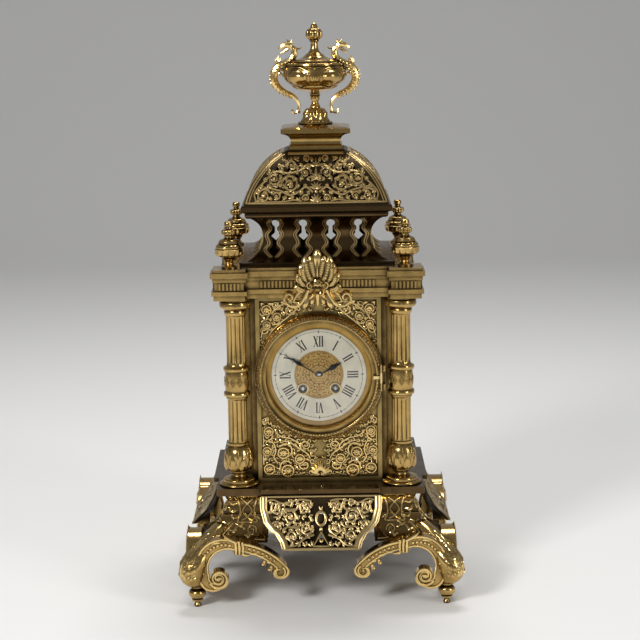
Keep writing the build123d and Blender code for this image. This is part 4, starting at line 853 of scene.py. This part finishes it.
# %% Corner finials
spot = (FINIAL_AT, -FINIAL_AT)
vase_rows = [(0, 0), (7.4, 0), (7.4, 1.8), (4.8, 3.2), (4.2, 6.5, 3.9, 4.6), (6.0, 9.0), (5.2, 10.0),
             (8.0, 11.2), (13.6, 16.2, 12.6, 12.6),
             (13.8, 18.4), (12.4, 19.2), (12.8, 20.6), (9.8, 23.0, 11.8, 22.4), (10.4, 24.2), (9.6, 25.4),
             (6.6, 27.8, 8.6, 27.2), (4.6, 29.0),
             (4.2, 31.6, 3.9, 30.0), (6.6, 34.4, 6.4, 32.6), (4.4, 37.2, 6.4, 36.6), (3.0, 38.2), (2.8, 39.6),
             (3.9, 42.0, 3.9, 40.6),
             (1.6, 44.8, 3.6, 44.4), (0, 45.0)]
vase = lathe([(row[0], row[1] + CORNICE_TOP) + tuple(v + CORNICE_TOP * (i == 1) for i,
                                                     v in enumerate(row[2:])) for row in vase_rows],
             at=spot, sides=60, steps=6)
flute(vase, 12, CORNICE_TOP + 10.0, CORNICE_TOP + 18.4, 1.5, at=spot, sharp=0.5)
flute(vase, 12, CORNICE_TOP + 20.6, CORNICE_TOP + 24.0, 0.8, at=spot, sharp=0.5)
flute(vase, 10, CORNICE_TOP + 31.6, CORNICE_TOP + 37.2, 1.0, at=spot, sharp=0.5)
finial = settle(vase, "finial_vase_front_right", case_brass,
                stands_for=["finial_front_right"])
quarter_turns(finial, [f"finial_vase_{corner}" for corner in CORNERS[1:]],
              [f"finial_{corner}" for corner in CORNERS[1:]])
print("finial:", len(finial.data.polygons), "faces")

# %% [markdown]
# The gallery's slots are outlined with a fine double line that waves with them.

# %% Gallery outlines
gallery_depth = circle_depth((73, 329), (52, 352), (65, 371))
waves = []
for x in (13.5, 40.5):
    lean = x / 13.5 * 0.6
    for side in (-1, 1):
        for off, wide in ((0.2, 0.85), (2.3, 0.6)):
            waves.append(stem([(x + side * (2.6 + off), 369.6), (x + side * (5.6 + off), 364.5),
                               (x + side * (3.4 + off), 359.4),
                               (x + lean / 2 + side * (6.6 + off), 353.5),
                               (x + lean + side * (3.6 + off), 346.6),
                               (x + lean + side * (3.8 + off), 343.8), (x + lean + side * (7.2 + off), 338.6),
                               (x + lean + side * (1.2 + off), 332.4)], wide))
outlines = settle(cast(mirrored(waves), over(gallery_depth), flat=0.9, sink=0.25), "gallery_lines_front",
                  engraved_line)
quarter_turns(outlines, other_sides("gallery_lines"))
print("gallery outlines:", len(outlines.data.polygons), "faces")

# %% [markdown]
# The dome is four curved frets. Each is a symmetrical arabesque: big flower-eyed volutes on both sides of a
# palmette, smaller volutes in the corners and along the crown, inside a plain rim.

# %% Dome fret
dome_depth = circle_depth((70, 384), (55.6, 413), (28, 433.5))


def dome_strokes():
    half = []
    for volute in [(25.0, 403.5, 8.6, 350, 1.6, 1, 1.1, 6),
                   (50.5, 393.0, 7.0, 150, 1.5, -1, 1.1, 5),
                   (10.0, 414.0, 5.2, 200, 1.4, -1, 0.9, 4),
                   (23.0, 420.0, 5.0, 330, 1.4, 1, 0.9, 4),
                   (40.5, 408.5, 5.6, 200, 1.4, 1, 0.9, 4),
                   (9.0, 426.0, 3.2, 30, 1.2, 1, 0.7, 3),
                   (38.0, 392.5, 4.0, 20, 1.3, 1, 0.8, 3),
                   (10.0, 390.5, 3.6, 330, 1.3, 1, 0.8, 3),
                   (33.0, 417.5, 3.2, 150, 1.2, -1, 0.7, 3)]:
        half += scroll(*volute)
    half.append(stem([(2, 420), (8, 421), (18, 415), (27, 413.5), (36, 415), (41, 414)], 1.0, 0.7))
    half.append(stem([(3, 396), (10, 401), (17, 396.5), (25, 393.5), (33, 397), (42, 399.5), (50, 401)], 1.0,
                     0.7))
    half.append(stem([(58, 388), (59.5, 395), (54.5, 402), (48, 408), (41, 416.5)], 0.9, 0.7))
    half.append(stem([(14, 387.5), (22, 389), (30, 387.5), (44, 387.2), (60, 387.4)], 0.9, 0.7))
    for x, z, a in [(30, 390, 100), (22, 390.5, 60), (45, 400, 150), (33, 409, 60), (15, 408, 120),
                    (18, 426, 20), (54, 400, 120), (3.5, 408, 80),
                    (27, 425, 330), (46, 414, 120), (16, 397, 240), (57, 387.6, 120), (3, 424, 60),
                    (33, 402, 20), (43, 389, 60), (17, 420, 300)]:
        half += [petal(x, z, a - 30, 4.2, 0.9, 40), petal(x, z, a + 30, 4.0, 0.8, -40)]
    half += [petal(0, 386.5, 90 - d, 8.5 - d * 0.03, 1.3, -10) 
             for d in (8, 34, 62)] + [petal(0, 399, 90 - d, 7.0, 1.1, -20) for d in (6, 34, 64)]
    half += [bead(0, 396.5, 1.5), bead(0, 411.5, 1.3), petal(0, 411.5, 90, 8, 1.2), petal(0, 421, 90, 6, 1.0)]
    half += [petal(0, 409, 90 - d, 6.0, 1.0, -20) 
             for d in (30, 62, 110)] + [petal(0, 420, 90 - d, 5.0, 0.9, -20) for d in (34, 70)]
    half += sprigs(clear_spots(7.0, 387, 430, 60, lambda x, z: x > 4 and x < dome_depth(z) - 8), 1.8, 0.7)
    rims = [[(dome_depth(z) - inset, z, wide) for z in (385.5 + 3.2 * i for i in range(15))] for inset,
            wide in ((4.4, 0.6), (1.8, 0.9))]
    return mirrored(half + rims + [[(0, 386, 1.1), (66.5, 386, 1.1)], [(0, 430.8, 1.1), (27, 430.8, 1.1)]])


fret = settle(cast(dome_strokes(), over(dome_depth), flat=0.6, sink=0.0), "dome_fret_front", fret_brass)
quarter_turns(fret, other_sides("dome_fret"))
# The dome under its fret gets the near-black fret ground: painted shade for the fret's openings.
nodes["dome"].data.materials[0] = fret_shade_ground
print("dome fret:", len(fret.data.polygons), "faces")

# %% [markdown]
# The covered urn is three turnings. Its foot is pressed into lobes, its bowl swells into four large oval
# bosses with a shell between them at front and back, and the knob of its lid is lobed like a melon.

# %% Urn
def boss(ob, angle, z, half_arc, half_high, lift):
    """Swells an oval boss out of a turning: angle and half_arc in degrees, the rest in millimetres."""
    for v in ob.data.vertices:
        p = ob.matrix_world @ v.co
        r = hypot(p.x, p.y) / MM
        away = (degrees(atan2(p.y, p.x)) - angle + 180) % 360 - 180
        inside = 1 - (away / half_arc) ** 2 - ((p.z / MM - z) / half_high) ** 2
        if inside > 0 and r > 1:
            grow = 1 + lift * inside ** 0.5 / r
            p.x, p.y = p.x * grow, p.y * grow
            v.co = ob.matrix_world.inverted() @ p
    return ob


def shifted(rows, low):
    """Rows measured from a piece's own foot, moved up to its height on the clock."""
    return [(row[0], row[1] + low) + ((row[2], row[3] + low) if len(row) == 4 else ()) for row in rows]


foot_rows = [(0, 0), (16.8, 0), (17.4, 1.2), (16.8, 2.4), (14.6, 3.4, 15.0, 2.5), (12.6, 6.0), (12.9, 8.6),
             (11.6, 12.2, 12.9, 11.0),
             (7.4, 15.8, 10.0, 14.8), (5.4, 16.2), (5.2, 17.4), (3.6, 20.6, 4.2, 19.2), (3.4, 22.4),
             (4.6, 24.6), (4.4, 26.2), (5.2, 27.4), (4.4, 29), (0, 29)]
urn_foot = lathe(shifted(foot_rows, PLINTH_TOP), sides=96, steps=6)
flute(urn_foot, 8, PLINTH_TOP + 6.0, PLINTH_TOP + 15.8, 2.4, sharp=0.5, r_min=5.5)
flute(urn_foot, 16, PLINTH_TOP + 1.0, PLINTH_TOP + 4.0, 0.9, sharp=0.5, r_min=12)
settle(urn_foot, "urn_foot_lobed", case_brass, stands_for=["urn_foot"])

bowl_rows = [(0, 0), (5, 0), (7, 2.0, 5.4, 1.0), (15.0, 4.6, 10.8, 3.1), (22, 7.4, 19.4, 5.8), (22.8, 8.2),
             (23.0, 9.4), (27.4, 12.2, 25.6, 10.6),
             (30.6, 17.4, 29.5, 14.4), (30.9, 21.6, 31.1, 19.4), (29.6, 26.0, 30.6, 24.0), (27.6, 28.4),
             (28.4, 29.4), (28.2, 30.6), (25.5, 31.6), (0, 31.6)]
bowl = lathe(shifted(bowl_rows, URN_LOW), sides=168, steps=7)
for angle in (-55, -125, 55, 125):
    boss(bowl, angle, URN_LOW + 17.4, 19, 7.2, 4.2)
bowl_radius = {low: r for r, low in ((23.0, 9.4), (27.4, 12.2), (30.6, 17.4), (30.9, 21.6), (29.6, 26.0),
                                     (28.2, 30.6))}


def bowl_r(z):
    heights = sorted(bowl_radius)
    h = min(max(z - URN_LOW, heights[0]), heights[-1])
    for a, b in zip(heights, heights[1:]):
        if h <= b:
            return bowl_radius[a] + (bowl_radius[b] - bowl_radius[a]) * (h - a) / (b - a)
    return bowl_radius[heights[-1]]


def around_bowl(x, z, height):
    a, r = radians(x / 0.5 - 90), bowl_r(z) + height
    return r * cos(a), r * sin(a), z


bowl_lines = []
for turn in (0, 180):
    for side in (-1, 1):
        for grow, wide in ((1.04, 0.9), (1.27, 0.6)):
            ring = [(turn / 2 + side * 17.5 + 10.4 * grow * cos(a), URN_LOW + 17.4 + 7.8 * grow * sin(a),
                     wide) for a in (2 * pi * i / 28 for i in range(29))]
            bowl_lines.append(ring)
    for d in (-70, -42, -14, 14, 42, 70):
        bowl_lines.append(petal(turn / 2 + d * 0.008, URN_LOW + 11.5, 90 - d * 0.62, 12.5, 1.25))
    bowl_lines += [spiral(turn / 2 + side * 4.4, URN_LOW + 13.2, 2.6, 90, 1.2, side, 0.8, 0.5, 0.9) 
                   for side in (-1, 1)]
    bowl_lines += [spiral(turn / 2 + side * 3.6, URN_LOW + 26.0, 1.9, 270, 1.1, side, 0.7, 0.4, 0.8) 
                   for side in (-1, 1)]
    bowl_lines += [bead(turn / 2, URN_LOW + 10.5, 1.5), bead(turn / 2, URN_LOW + 25.8, 1.1)]
rings = cast(bowl_lines, around_bowl, flat=0.8, sink=0.1)
joined(bowl, rings)
settle(bowl, "urn_bowl_bossed", case_brass, stands_for=["urn_bowl"])

lid_rows = [(0, 0), (23.4, 0), (24.0, 0.8), (23.4, 1.6), (20.6, 2.2), (20.0, 2.8), (8.6, 8.0, 13.2, 4.4),
            (3.6, 17.4, 4.8, 11.6), (3.4, 19.6), (4.9, 20.6),
            (4.9, 21.6), (3.8, 22.2), (7.6, 24.0, 6.2, 22.6), (8.7, 27.8, 8.7, 25.6), (7.6, 31.0, 8.6, 29.8),
            (4.0, 33.0, 6.2, 32.6), (3.6, 33.8),
            (3.3, 35.4, 3.7, 34.6), (1.8, 38.0, 2.8, 36.9), (0, 39.2)]
lid = lathe(shifted(lid_rows, URN_RIM), sides=96, steps=7)
flute(lid, 8, URN_RIM + 22.2, URN_RIM + 33.0, 1.9, sharp=0.5)
settle(lid, "urn_lid_turned", case_brass, stands_for=["urn_lid"])
print("urn:", len(urn_foot.data.polygons) + len(bowl.data.polygons) + len(lid.data.polygons), "faces")

# %% [markdown]
# Two winged serpents are the urn's handles: nose outwards and jaw open, a horn that curls in towards the
# lid, the neck drawn back in an S, a scaly belly and a tail that curls up by the foot.

# %% Serpent handles
body_line = [(24.0, 534.0, 2.6), (20.6, 530.6, 3.0), (20.0, 525.6, 3.2), (22.8, 520.8, 3.3),
             (28.6, 517.0, 3.5), (35.0, 514.2, 3.9), (39.2, 508.4, 4.0),
             (40.4, 502.4, 3.8), (38.6, 496.6, 3.6), (33.8, 491.2, 3.2), (27.8, 487.9, 2.6),
             (22.6, 485.6, 2.1), (18.6, 481.8, 1.8),
             (16.3, 477.4, 1.6), (15.9, 472.8, 1.4), (17.6, 469.2, 1.2), (20.8, 467.9, 1.0),
             (23.0, 469.4, 0.95), (22.2, 471.6, 1.2)]


def limbed(points, steps=4):
    """A smooth line through points that carries their thickness along."""
    line = stem([p[:2] for p in points], 1, 1, steps)
    out = []
    for i, (x, y, _) in enumerate(line):
        s = min(i / steps, len(points) - 1.001)
        j = int(s)
        out.append((x, y, points[j][2] + (points[j + 1][2] - points[j][2]) * (s - j)))
    return out


serpent = [limbed(body_line), limbed([(22.6, 533.2, 2.6), (25.6, 535.0, 3.2), (29.4, 534.6, 2.7),
                                      (33.2, 532.4, 1.9), (35.0, 530.8, 1.1)]),
           limbed([(26.0, 531.0, 1.8), (29.6, 528.8, 1.3), (32.6, 527.4, 0.9)]),
           petal(23, 536.2, 30, 6, 1.1, 30), petal(22.4, 535.6, 60, 5, 1.0, 60),
           limbed([(21.0, 532.6, 1.7), (17.2, 531.2, 1.1), (14.2, 531.4, 0.7), (12.4, 533.0, 0.4)]),
           petal(36.6, 516.4, 80, 8.4, 1.2, 30), petal(37.4, 515.6, 60, 6.6, 1.0, 40),
           petal(35.2, 516.6, 100, 6.0, 0.9, 10),
           limbed([(14.6, 468.6, 1.2), (17.6, 469.0, 1.2), (18.4, 469.2, 1.1)])]
spine = limbed(body_line)
for i in range(22, 46, 2):
    (x, z, r), (x2, z2, _) = spine[i], spine[i + 1]
    a = atan2(z2 - z, x2 - x)
    serpent.append(petal(x - sin(a) * r * 0.8, z + cos(a) * r * 0.8, degrees(a) + 55, 2.8, 0.8))
handles = []
for side in (-1, 1):
    handles.append(cast(serpent, lambda x, z, h, side=side: (side * x, h, z), flat=1.0, sink=0, resolution=2))
    for face_side in (-1, 1):
        details = [[(27.8, 536.0, 0.9), (27.9, 536.0, 0.9)]]
        for i in range(4, 44, 2):
            x, z, r = spine[i]
            details.append(bead(x, z, r * 0.42))
        details += [petal(33.5, 513, 150, 9, 1.5, 40), petal(34.5, 511, 175, 8, 1.3, 40),
                    petal(36, 508, 200, 7, 1.2, 40)]
        handles.append(cast(details, lambda x, z, h, side=side, f=face_side: (side * x, f * 2.7 + h, z),
                            flat=1.0, sink=0))
joined(*handles)
settle(handles[0], "urn_serpents", relief_brass, stands_for=["urn_handles"])
print("serpents:", len(handles[0].data.polygons), "faces")

# %% [markdown]
# The crest over the dial is a tall acanthus: five leaves spread above a boss, two arms run down and out
# into scrolls with ball eyes, and smaller leaves hang between them.

# %% Crest
CREST_Y = 95.0


def lobe(x, y, angle, length, width, curl=0.0):
    """A leaf with a rounded, swollen tip."""
    line, steps = petal(x, y, angle, length, 1, curl, 9), 9
    swell = (0.45, 0.6, 0.72, 0.82, 0.92, 1.0, 1.04, 1.0, 0.8, 0.4)
    return [(px, py, width * w) for (px, py, _), w in zip(line, swell)]


half_crest = [lobe(3, 318, 82, 20, 3.4, -6), lobe(6, 314, 62, 24, 4.3, 26), lobe(10, 313, 44, 19, 3.8, 62),
              lobe(11, 309, 18, 15, 3.6, 70),
              lobe(12, 305, -8, 11.5, 3.0, 60), lobe(9, 300, -80, 13, 2.6, 16),
              lobe(4.4, 302, -86, 11, 2.0, 6), lobe(7, 321, 118, 8, 2.0, -40)]
half_crest += [stem([(9, 305), (13, 297), (18, 290.5), (25, 289.4), (30, 293)], 1.9, 1.5),
               spiral(27.0, 297.6, 5.2, 320, 1.0, 1, 1.6, 1.2, 3.1),
               stem([(12, 306), (17, 303), (21.4, 298), (23, 294)], 1.3, 0.9),
               petal(20, 290.4, -20, 9, 1.5, 40), petal(16, 294, -60, 9, 1.6, 40)]
over_crest = [spiral(7.2, 309.4, 3.4, 90, 1.1, -1, 1.1, 0.7, 1.4), petal(2.4, 303, -60, 9, 1.3, 20)]
for x, z, angle, curl, length in [(3, 318, 82, -6, 17), (6, 314, 62, 26, 21), (10, 313, 44, 62, 16),
                                  (11, 309, 18, 70, 12), (12, 305, -8, 60, 9)]:
    rib = petal(x, z, angle, length, 1.0, curl, 8)
    over_crest.append([(px, pz, 0.8) for px, pz, _ in rib])
    for (px, pz, _), (qx, qz, _) in list(zip(rib, rib[1:]))[1:7]:
        along = degrees(atan2(qz - pz, qx - px))
        over_crest += [petal(px, pz, along + side * 42, 4.6, 0.85, -side * 20) for side in (-1, 1)]
boss_strokes = [[(0, 309.5, 4.6), (0, 312, 4.8), (0, 315, 3.6)],
                [(0, 301, 2.4), (0, 296, 1.6), (0, 290, 0.6)], lobe(0, 319, 90, 25, 4.2)]
base_leaves = cast(mirrored(half_crest) + boss_strokes, on_front(CREST_Y), flat=0.8, sink=0, resolution=2)
veins = cast(mirrored(over_crest) + [[(0, 312, 2.4), (0, 313.6, 2.2)], petal(0, 318, 90, 23, 0.9)],
             on_front(CREST_Y + 2.9), flat=0.9, sink=0)
joined(base_leaves, veins)
settle(base_leaves, "crest_acanthus", relief_brass, stands_for=["crest"])
print("crest:", len(base_leaves.data.polygons), "faces")

# %% [markdown]
# The ring round the bezel carries a row of small leaves, each with a bead at its foot. The dial's lines are
# drawn with the same pen: x runs round the dial clockwise from twelve and the height is a radius.

# %% Ring of leaves and beads
def on_dial(front):
    """Lays (degrees clockwise from twelve, radius) on the dial; front(radius) is the distance in front."""
    def lay(turn, r, height):
        a = radians(turn)
        return r * sin(a), -front(r) - height, DIAL_Z + r * cos(a)
    return lay


def round_petal(turn, r, lean, length, width):
    """A petal for on_dial, with its width kept in millimetres."""
    return [(turn + degrees(x / r), r + y, w) for x, y, w in petal(0, 0, 90 + lean, length, width)]


ring_rows = [(56.4, 84.2), (57.6, 84.5), (59.0, 84.2), (60.6, 82.6), (61.8, 80.4), (62.4, 78.4)]


def ring_front(r):
    for (r0, d0), (r1, d1) in zip(ring_rows, ring_rows[1:]):
        if r <= r1:
            return d0 + (d1 - d0) * (r - r0) / (r1 - r0)
    return ring_rows[-1][1]


def drawn_round(strokes, front, flat, sink, name, finish, turns_width):
    """Casts strokes given by angle and radius. The pen draws in millimetres, so angles become arcs first."""
    ob = cast([[(turn * pi / 180 * turns_width, r, w) for turn, r, w in line] for line in strokes],
              lambda x, r, h: on_dial(front)(degrees(x / turns_width), r, h), flat=flat, sink=sink)
    return settle(ob, name, finish)


leaves = []
for i in range(60):
    turn = 6 * i
    leaves += [round_petal(turn, 58.2, 0, 4.0, 1.75), round_petal(turn + 3, 59.4, 0, 2.6, 1.0),
               bead(turn, 57.0, 0.8),
               bead(turn + 3, 57.0, 0.8), bead(turn + 3, 59.0, 0.8)]
drawn_round(leaves, ring_front, 0.8, 0.15, "ring_leaves", engraved_line, turns_width=60)
print("ring:", len(leaves), "strokes")

# %% [markdown]
# The bezel is a smooth spun ring, turned upright to face the viewer, with one slim knuckle on the hinge
# pin. Known fault: the ring stands 81 mm too far back, inside the case. The lathe leaves the first row's
# height in the object's location, and the line that sets the location here drops it. Its y should be minus
# bezel_rows[0][1] * MM.

# %% Bezel
BEZEL_BACK, HINGE_X = 79.8, 60.5
bezel_rows = [(47.5, BEZEL_BACK + 1.4), (48.1, BEZEL_BACK + 4.2),
              (50.6, BEZEL_BACK + 7.3, 49.2, BEZEL_BACK + 6.6),
              (54.0, BEZEL_BACK + 6.4, 52.6, BEZEL_BACK + 7.5),
              (55.3, BEZEL_BACK + 4.0, 55.0, BEZEL_BACK + 5.4), (55.3, BEZEL_BACK), (50.6, BEZEL_BACK),
              (47.6, 71.9), (46.2, 71.9), (46.8, BEZEL_BACK + 1.4), (47.5, BEZEL_BACK + 1.4)]
bezel = lathe(bezel_rows, sides=128, steps=6)
pick(bezel)
bpy.ops.object.mode_set(mode="EDIT")
bpy.ops.mesh.select_all(action="DESELECT")
bpy.ops.object.mode_set(mode="OBJECT")
for face_ in bezel.data.polygons:
    face_.select = len(face_.vertices) > 8
bpy.ops.object.mode_set(mode="EDIT")
bpy.ops.mesh.select_mode(type="FACE")
bpy.ops.mesh.delete(type="ONLY_FACE")
bpy.ops.object.mode_set(mode="OBJECT")
bezel.rotation_euler = (radians(90), 0, 0)
bezel.location = (0, 0, DIAL_Z * MM)
bpy.ops.object.transform_apply(location=True, rotation=True, scale=True)
pieces = [bezel]
bpy.ops.mesh.primitive_cylinder_add(vertices=24, radius=1.2 * MM, depth=10.0 * MM,
                                    location=(HINGE_X * MM, -(BEZEL_BACK + 7.6) * MM, DIAL_Z * MM))
pieces.append(bpy.context.object)
bpy.ops.mesh.primitive_cube_add(size=1,
                                location=((HINGE_X - 4.2) * MM, -(BEZEL_BACK + 5.8) * MM, DIAL_Z * MM))
bpy.context.object.scale = (6.6 * MM, 1.0 * MM, 3.0 * MM)
bpy.ops.object.transform_apply(location=True, rotation=True, scale=True)
pieces.append(bpy.context.object)
joined(*pieces)
settle(bezel, "bezel_spun", bright_brass, body="bezel", stands_for=["front_bezel"])
print("bezel:", len(bezel.data.polygons), "faces")

# %% [markdown]
# The dial. Roman hours stand on the silvered ring with their feet towards the centre, inside a fine circle
# that is crossed by a tick at every hour. The gilt centre is engraved with leaves, and a gilt ring lines
# each winding hole.

# %% Dial
DIAL_FACE = 67.2
CENTRE_FACE = 66.8
ink = metal("ink", (0.012, 0.011, 0.010), (0.010, 0.009, 0.008), (0.5, 0.6), bump=0.0)
engraved = metal("engraved", (0.22, 0.115, 0.03), (0.10, 0.05, 0.015), (0.4, 0.5), bump=0.0)
gilt = metal("gilt", (0.62, 0.39, 0.11), (0.22, 0.12, 0.03), (0.36, 0.50), hollow=0.002, bump=0.8)
nodes["dial_plate"].data.materials[0] = gilt
nodes["chapter_ring"].data.materials[0] = silvered
HOURS = ("XII", "I", "II", "III", "IIII", "V", "VI", "VII", "VIII", "IX", "X", "XI")
PITCH = {"I": 2.5, "V": 5.0, "X": 5.0}
NUMERAL_LOW, NUMERAL_HIGH = 27.8, 37.6


def letter(kind, x):
    """Strokes of one letter about x: thick and thin limbs and hairline serifs, from foot to head."""
    low, high = NUMERAL_LOW, NUMERAL_HIGH
    if kind == "I":
        limbs = [[(x, low, 0.62), (x, high, 0.62)]]
        serifs = [(x, low), (x, high)]
    elif kind == "V":
        limbs = [[(x - 1.7, high, 0.66), (x + 0.1, low, 0.56)], [(x + 1.7, high, 0.26), (x + 0.2, low, 0.26)]]
        serifs = [(x - 1.7, high), (x + 1.7, high)]
    else:
        limbs = [[(x - 1.7, high, 0.66), (x + 1.7, low, 0.66)], [(x + 1.7, high, 0.26), (x - 1.7, low, 0.26)]]
        serifs = [(x - 1.7, high), (x + 1.7, high), (x - 1.7, low), (x + 1.7, low)]
    return limbs + [[(sx - 1.05, sz, 0.2), (sx + 1.05, sz, 0.2)] for sx, sz in serifs]


marks = []
for hour, text in enumerate(HOURS):
    x = -sum(PITCH[c] for c in text) / 2
    for c in text:
        x += PITCH[c] / 2
        for line in letter(c, x):
            a = radians(30 * hour)
            marks.append([(u * cos(a) + v * sin(a), v * cos(a) - u * sin(a), w) for u, v, w in line])
        x += PITCH[c] / 2
    a = radians(30 * hour)
    marks.append([(40.4 * sin(a), 40.4 * cos(a), 0.3), (43.6 * sin(a), 43.6 * cos(a), 0.3)])
    marks.append([(41.9 * sin(a + b), 41.9 * cos(a + b), 0.28) for b in (-0.025, 0.025)])
for i in range(60):
    a = radians(6 * i)
    marks.append([(41.6 * sin(a), 41.6 * cos(a), 0.13), (42.6 * sin(a), 42.6 * cos(a), 0.13)])
marks.append([(42.1 * sin(2 * pi * i / 120), 42.1 * cos(2 * pi * i / 120), 0.15) for i in range(121)])
dial_marks = cast(marks, lambda x, z, h: (x, -DIAL_FACE - h, DIAL_Z + z), flat=0.06, sink=0.02)
settle(dial_marks, "dial_marks", ink)

cuts = []
for i in range(12):
    a, turn = radians(30 * i), 90 - 30 * i
    x, z = 12 * sin(a), 12 * cos(a)
    cuts += [[(px, pz, w * 0.6) for px, pz, w in line] 
             for line in scroll(15.5 * sin(a), 15.5 * cos(a), 3.4, turn, 1.3, 1 if i % 2 else -1, 0.5,
                                leaves=3)]
    cuts += [petal(8.4 * sin(a), 8.4 * cos(a), turn, 5.0, 0.6),
             petal(19.6 * sin(a), 19.6 * cos(a), turn + 40, 3.2, 0.45),
             petal(19.6 * sin(a), 19.6 * cos(a), turn - 40, 3.2, 0.45)]
    cuts.append(bead(x, z, 0.4))
    for j, r in enumerate((9.5, 12.5, 15.5, 18.5, 21)):
        b = a + radians(15)
        cuts += [petal(r * sin(b), r * cos(b), turn - 15 + side * 55, 2.2 + 0.1 * j, 0.34, side * 40) 
                 for side in (-1, 1)]
cuts.append([(22.6 * sin(2 * pi * i / 80), 22.6 * cos(2 * pi * i / 80), 0.22) for i in range(81)])
cuts.append([(7.2 * sin(2 * pi * i / 40), 7.2 * cos(2 * pi * i / 40), 0.2) for i in range(41)])
holes = [(-16.0, -13.6), (16.0, -13.6)]
cuts = [line for line in cuts if len(line) > 40 or all(hypot(x - hx, z - hz) > 6.2 for x, z, _ in line for hx,
                                                       hz in holes)]
engraving = cast(cuts, lambda x, z, h: (x, -CENTRE_FACE - h, DIAL_Z + z), flat=0.06, sink=0.02)
settle(engraving, "dial_engraving", engraved)

rims = [[(hx + 5.0 * cos(2 * pi * i / 32), hz + 5.0 * sin(2 * pi * i / 32), 0.85) for i in range(33)] for hx,
        hz in holes]
winding_rims = cast(rims, lambda x, z, h: (x, -DIAL_FACE - h, DIAL_Z + z), flat=0.8, sink=0.1, resolution=2)
settle(winding_rims, "winding_rims", bright_brass)
print("dial:", len(dial_marks.data.polygons), "faces of ink")

# %% [markdown]
# The hands are blued black steel: a thin shank that swells into a leaf and runs out in a fine tip. Each
# rides on its own arbor's body, so they still turn with the movement.

# %% Hands
HOUR_ANGLE, MINUTE_ANGLE = 61.5, 302.0
HOUR_HAND_Y, MINUTE_HAND_Y = 68.7, 70.7


def hand(name, body, node, angle, depth, outline, hub):
    a = radians(angle)
    limb = [(r * sin(a), r * cos(a), w) for r, w in outline]
    ring = [(hub * 0.75 * cos(2 * pi * i / 24), hub * 0.75 * sin(2 * pi * i / 24), hub * 0.3) 
            for i in range(25)]
    ob = cast([limb, ring], lambda x, z, h: (x, -depth - h, DIAL_Z + z), flat=0.16, sink=0, resolution=3)
    return settle(ob, name, black_steel, body=body, stands_for=[node])


hand("hour_hand_leaf", "hour", "hour_hand", HOUR_ANGLE, HOUR_HAND_Y,
     [(2.6, 0.75), (8, 0.62), (10.5, 0.8), (13, 1.7), (15.5, 2.45), (17.5, 2.3), (20, 1.3), (22, 0.7),
      (25, 0.3)], 3.9)
hand("minute_hand_leaf", "minute", "minute_hand", MINUTE_ANGLE, MINUTE_HAND_Y,
     [(2.6, 0.6), (12, 0.42), (17, 0.5), (19.5, 1.0), (22.5, 1.75), (25, 1.7), (28, 0.95), (31, 0.5),
      (40, 0.22)], 3.4)
bpy.ops.mesh.primitive_uv_sphere_add(segments=24, ring_count=12, radius=2.5 * MM,
                                     location=(0, -71.1 * MM, DIAL_Z * MM))
bpy.context.object.scale = (1, 0.9, 1)
nut = settle(bpy.context.object, "hand_nut_domed", arbor_steel, body="minute")
print("hand nut:", len(nut.data.polygons), "faces")

# %% [markdown]
# The glass is thin and clear. It bends light as crown glass does, and carries a faint reflection.

# %% Glass
glass = bpy.data.materials.new("clear_glass")
tree, shader = node_set(glass)
shader.inputs["Base Color"].default_value = (0.98, 0.99, 0.985, 1)
shader.inputs["Roughness"].default_value = 0.02
shader.inputs["Transmission Weight"].default_value = 1.0
shader.inputs["IOR"].default_value = 1.45
nodes["bezel_glass"].data.materials.clear()
nodes["bezel_glass"].data.materials.append(glass)
deselect()
print("glass on:", nodes["bezel_glass"].name)
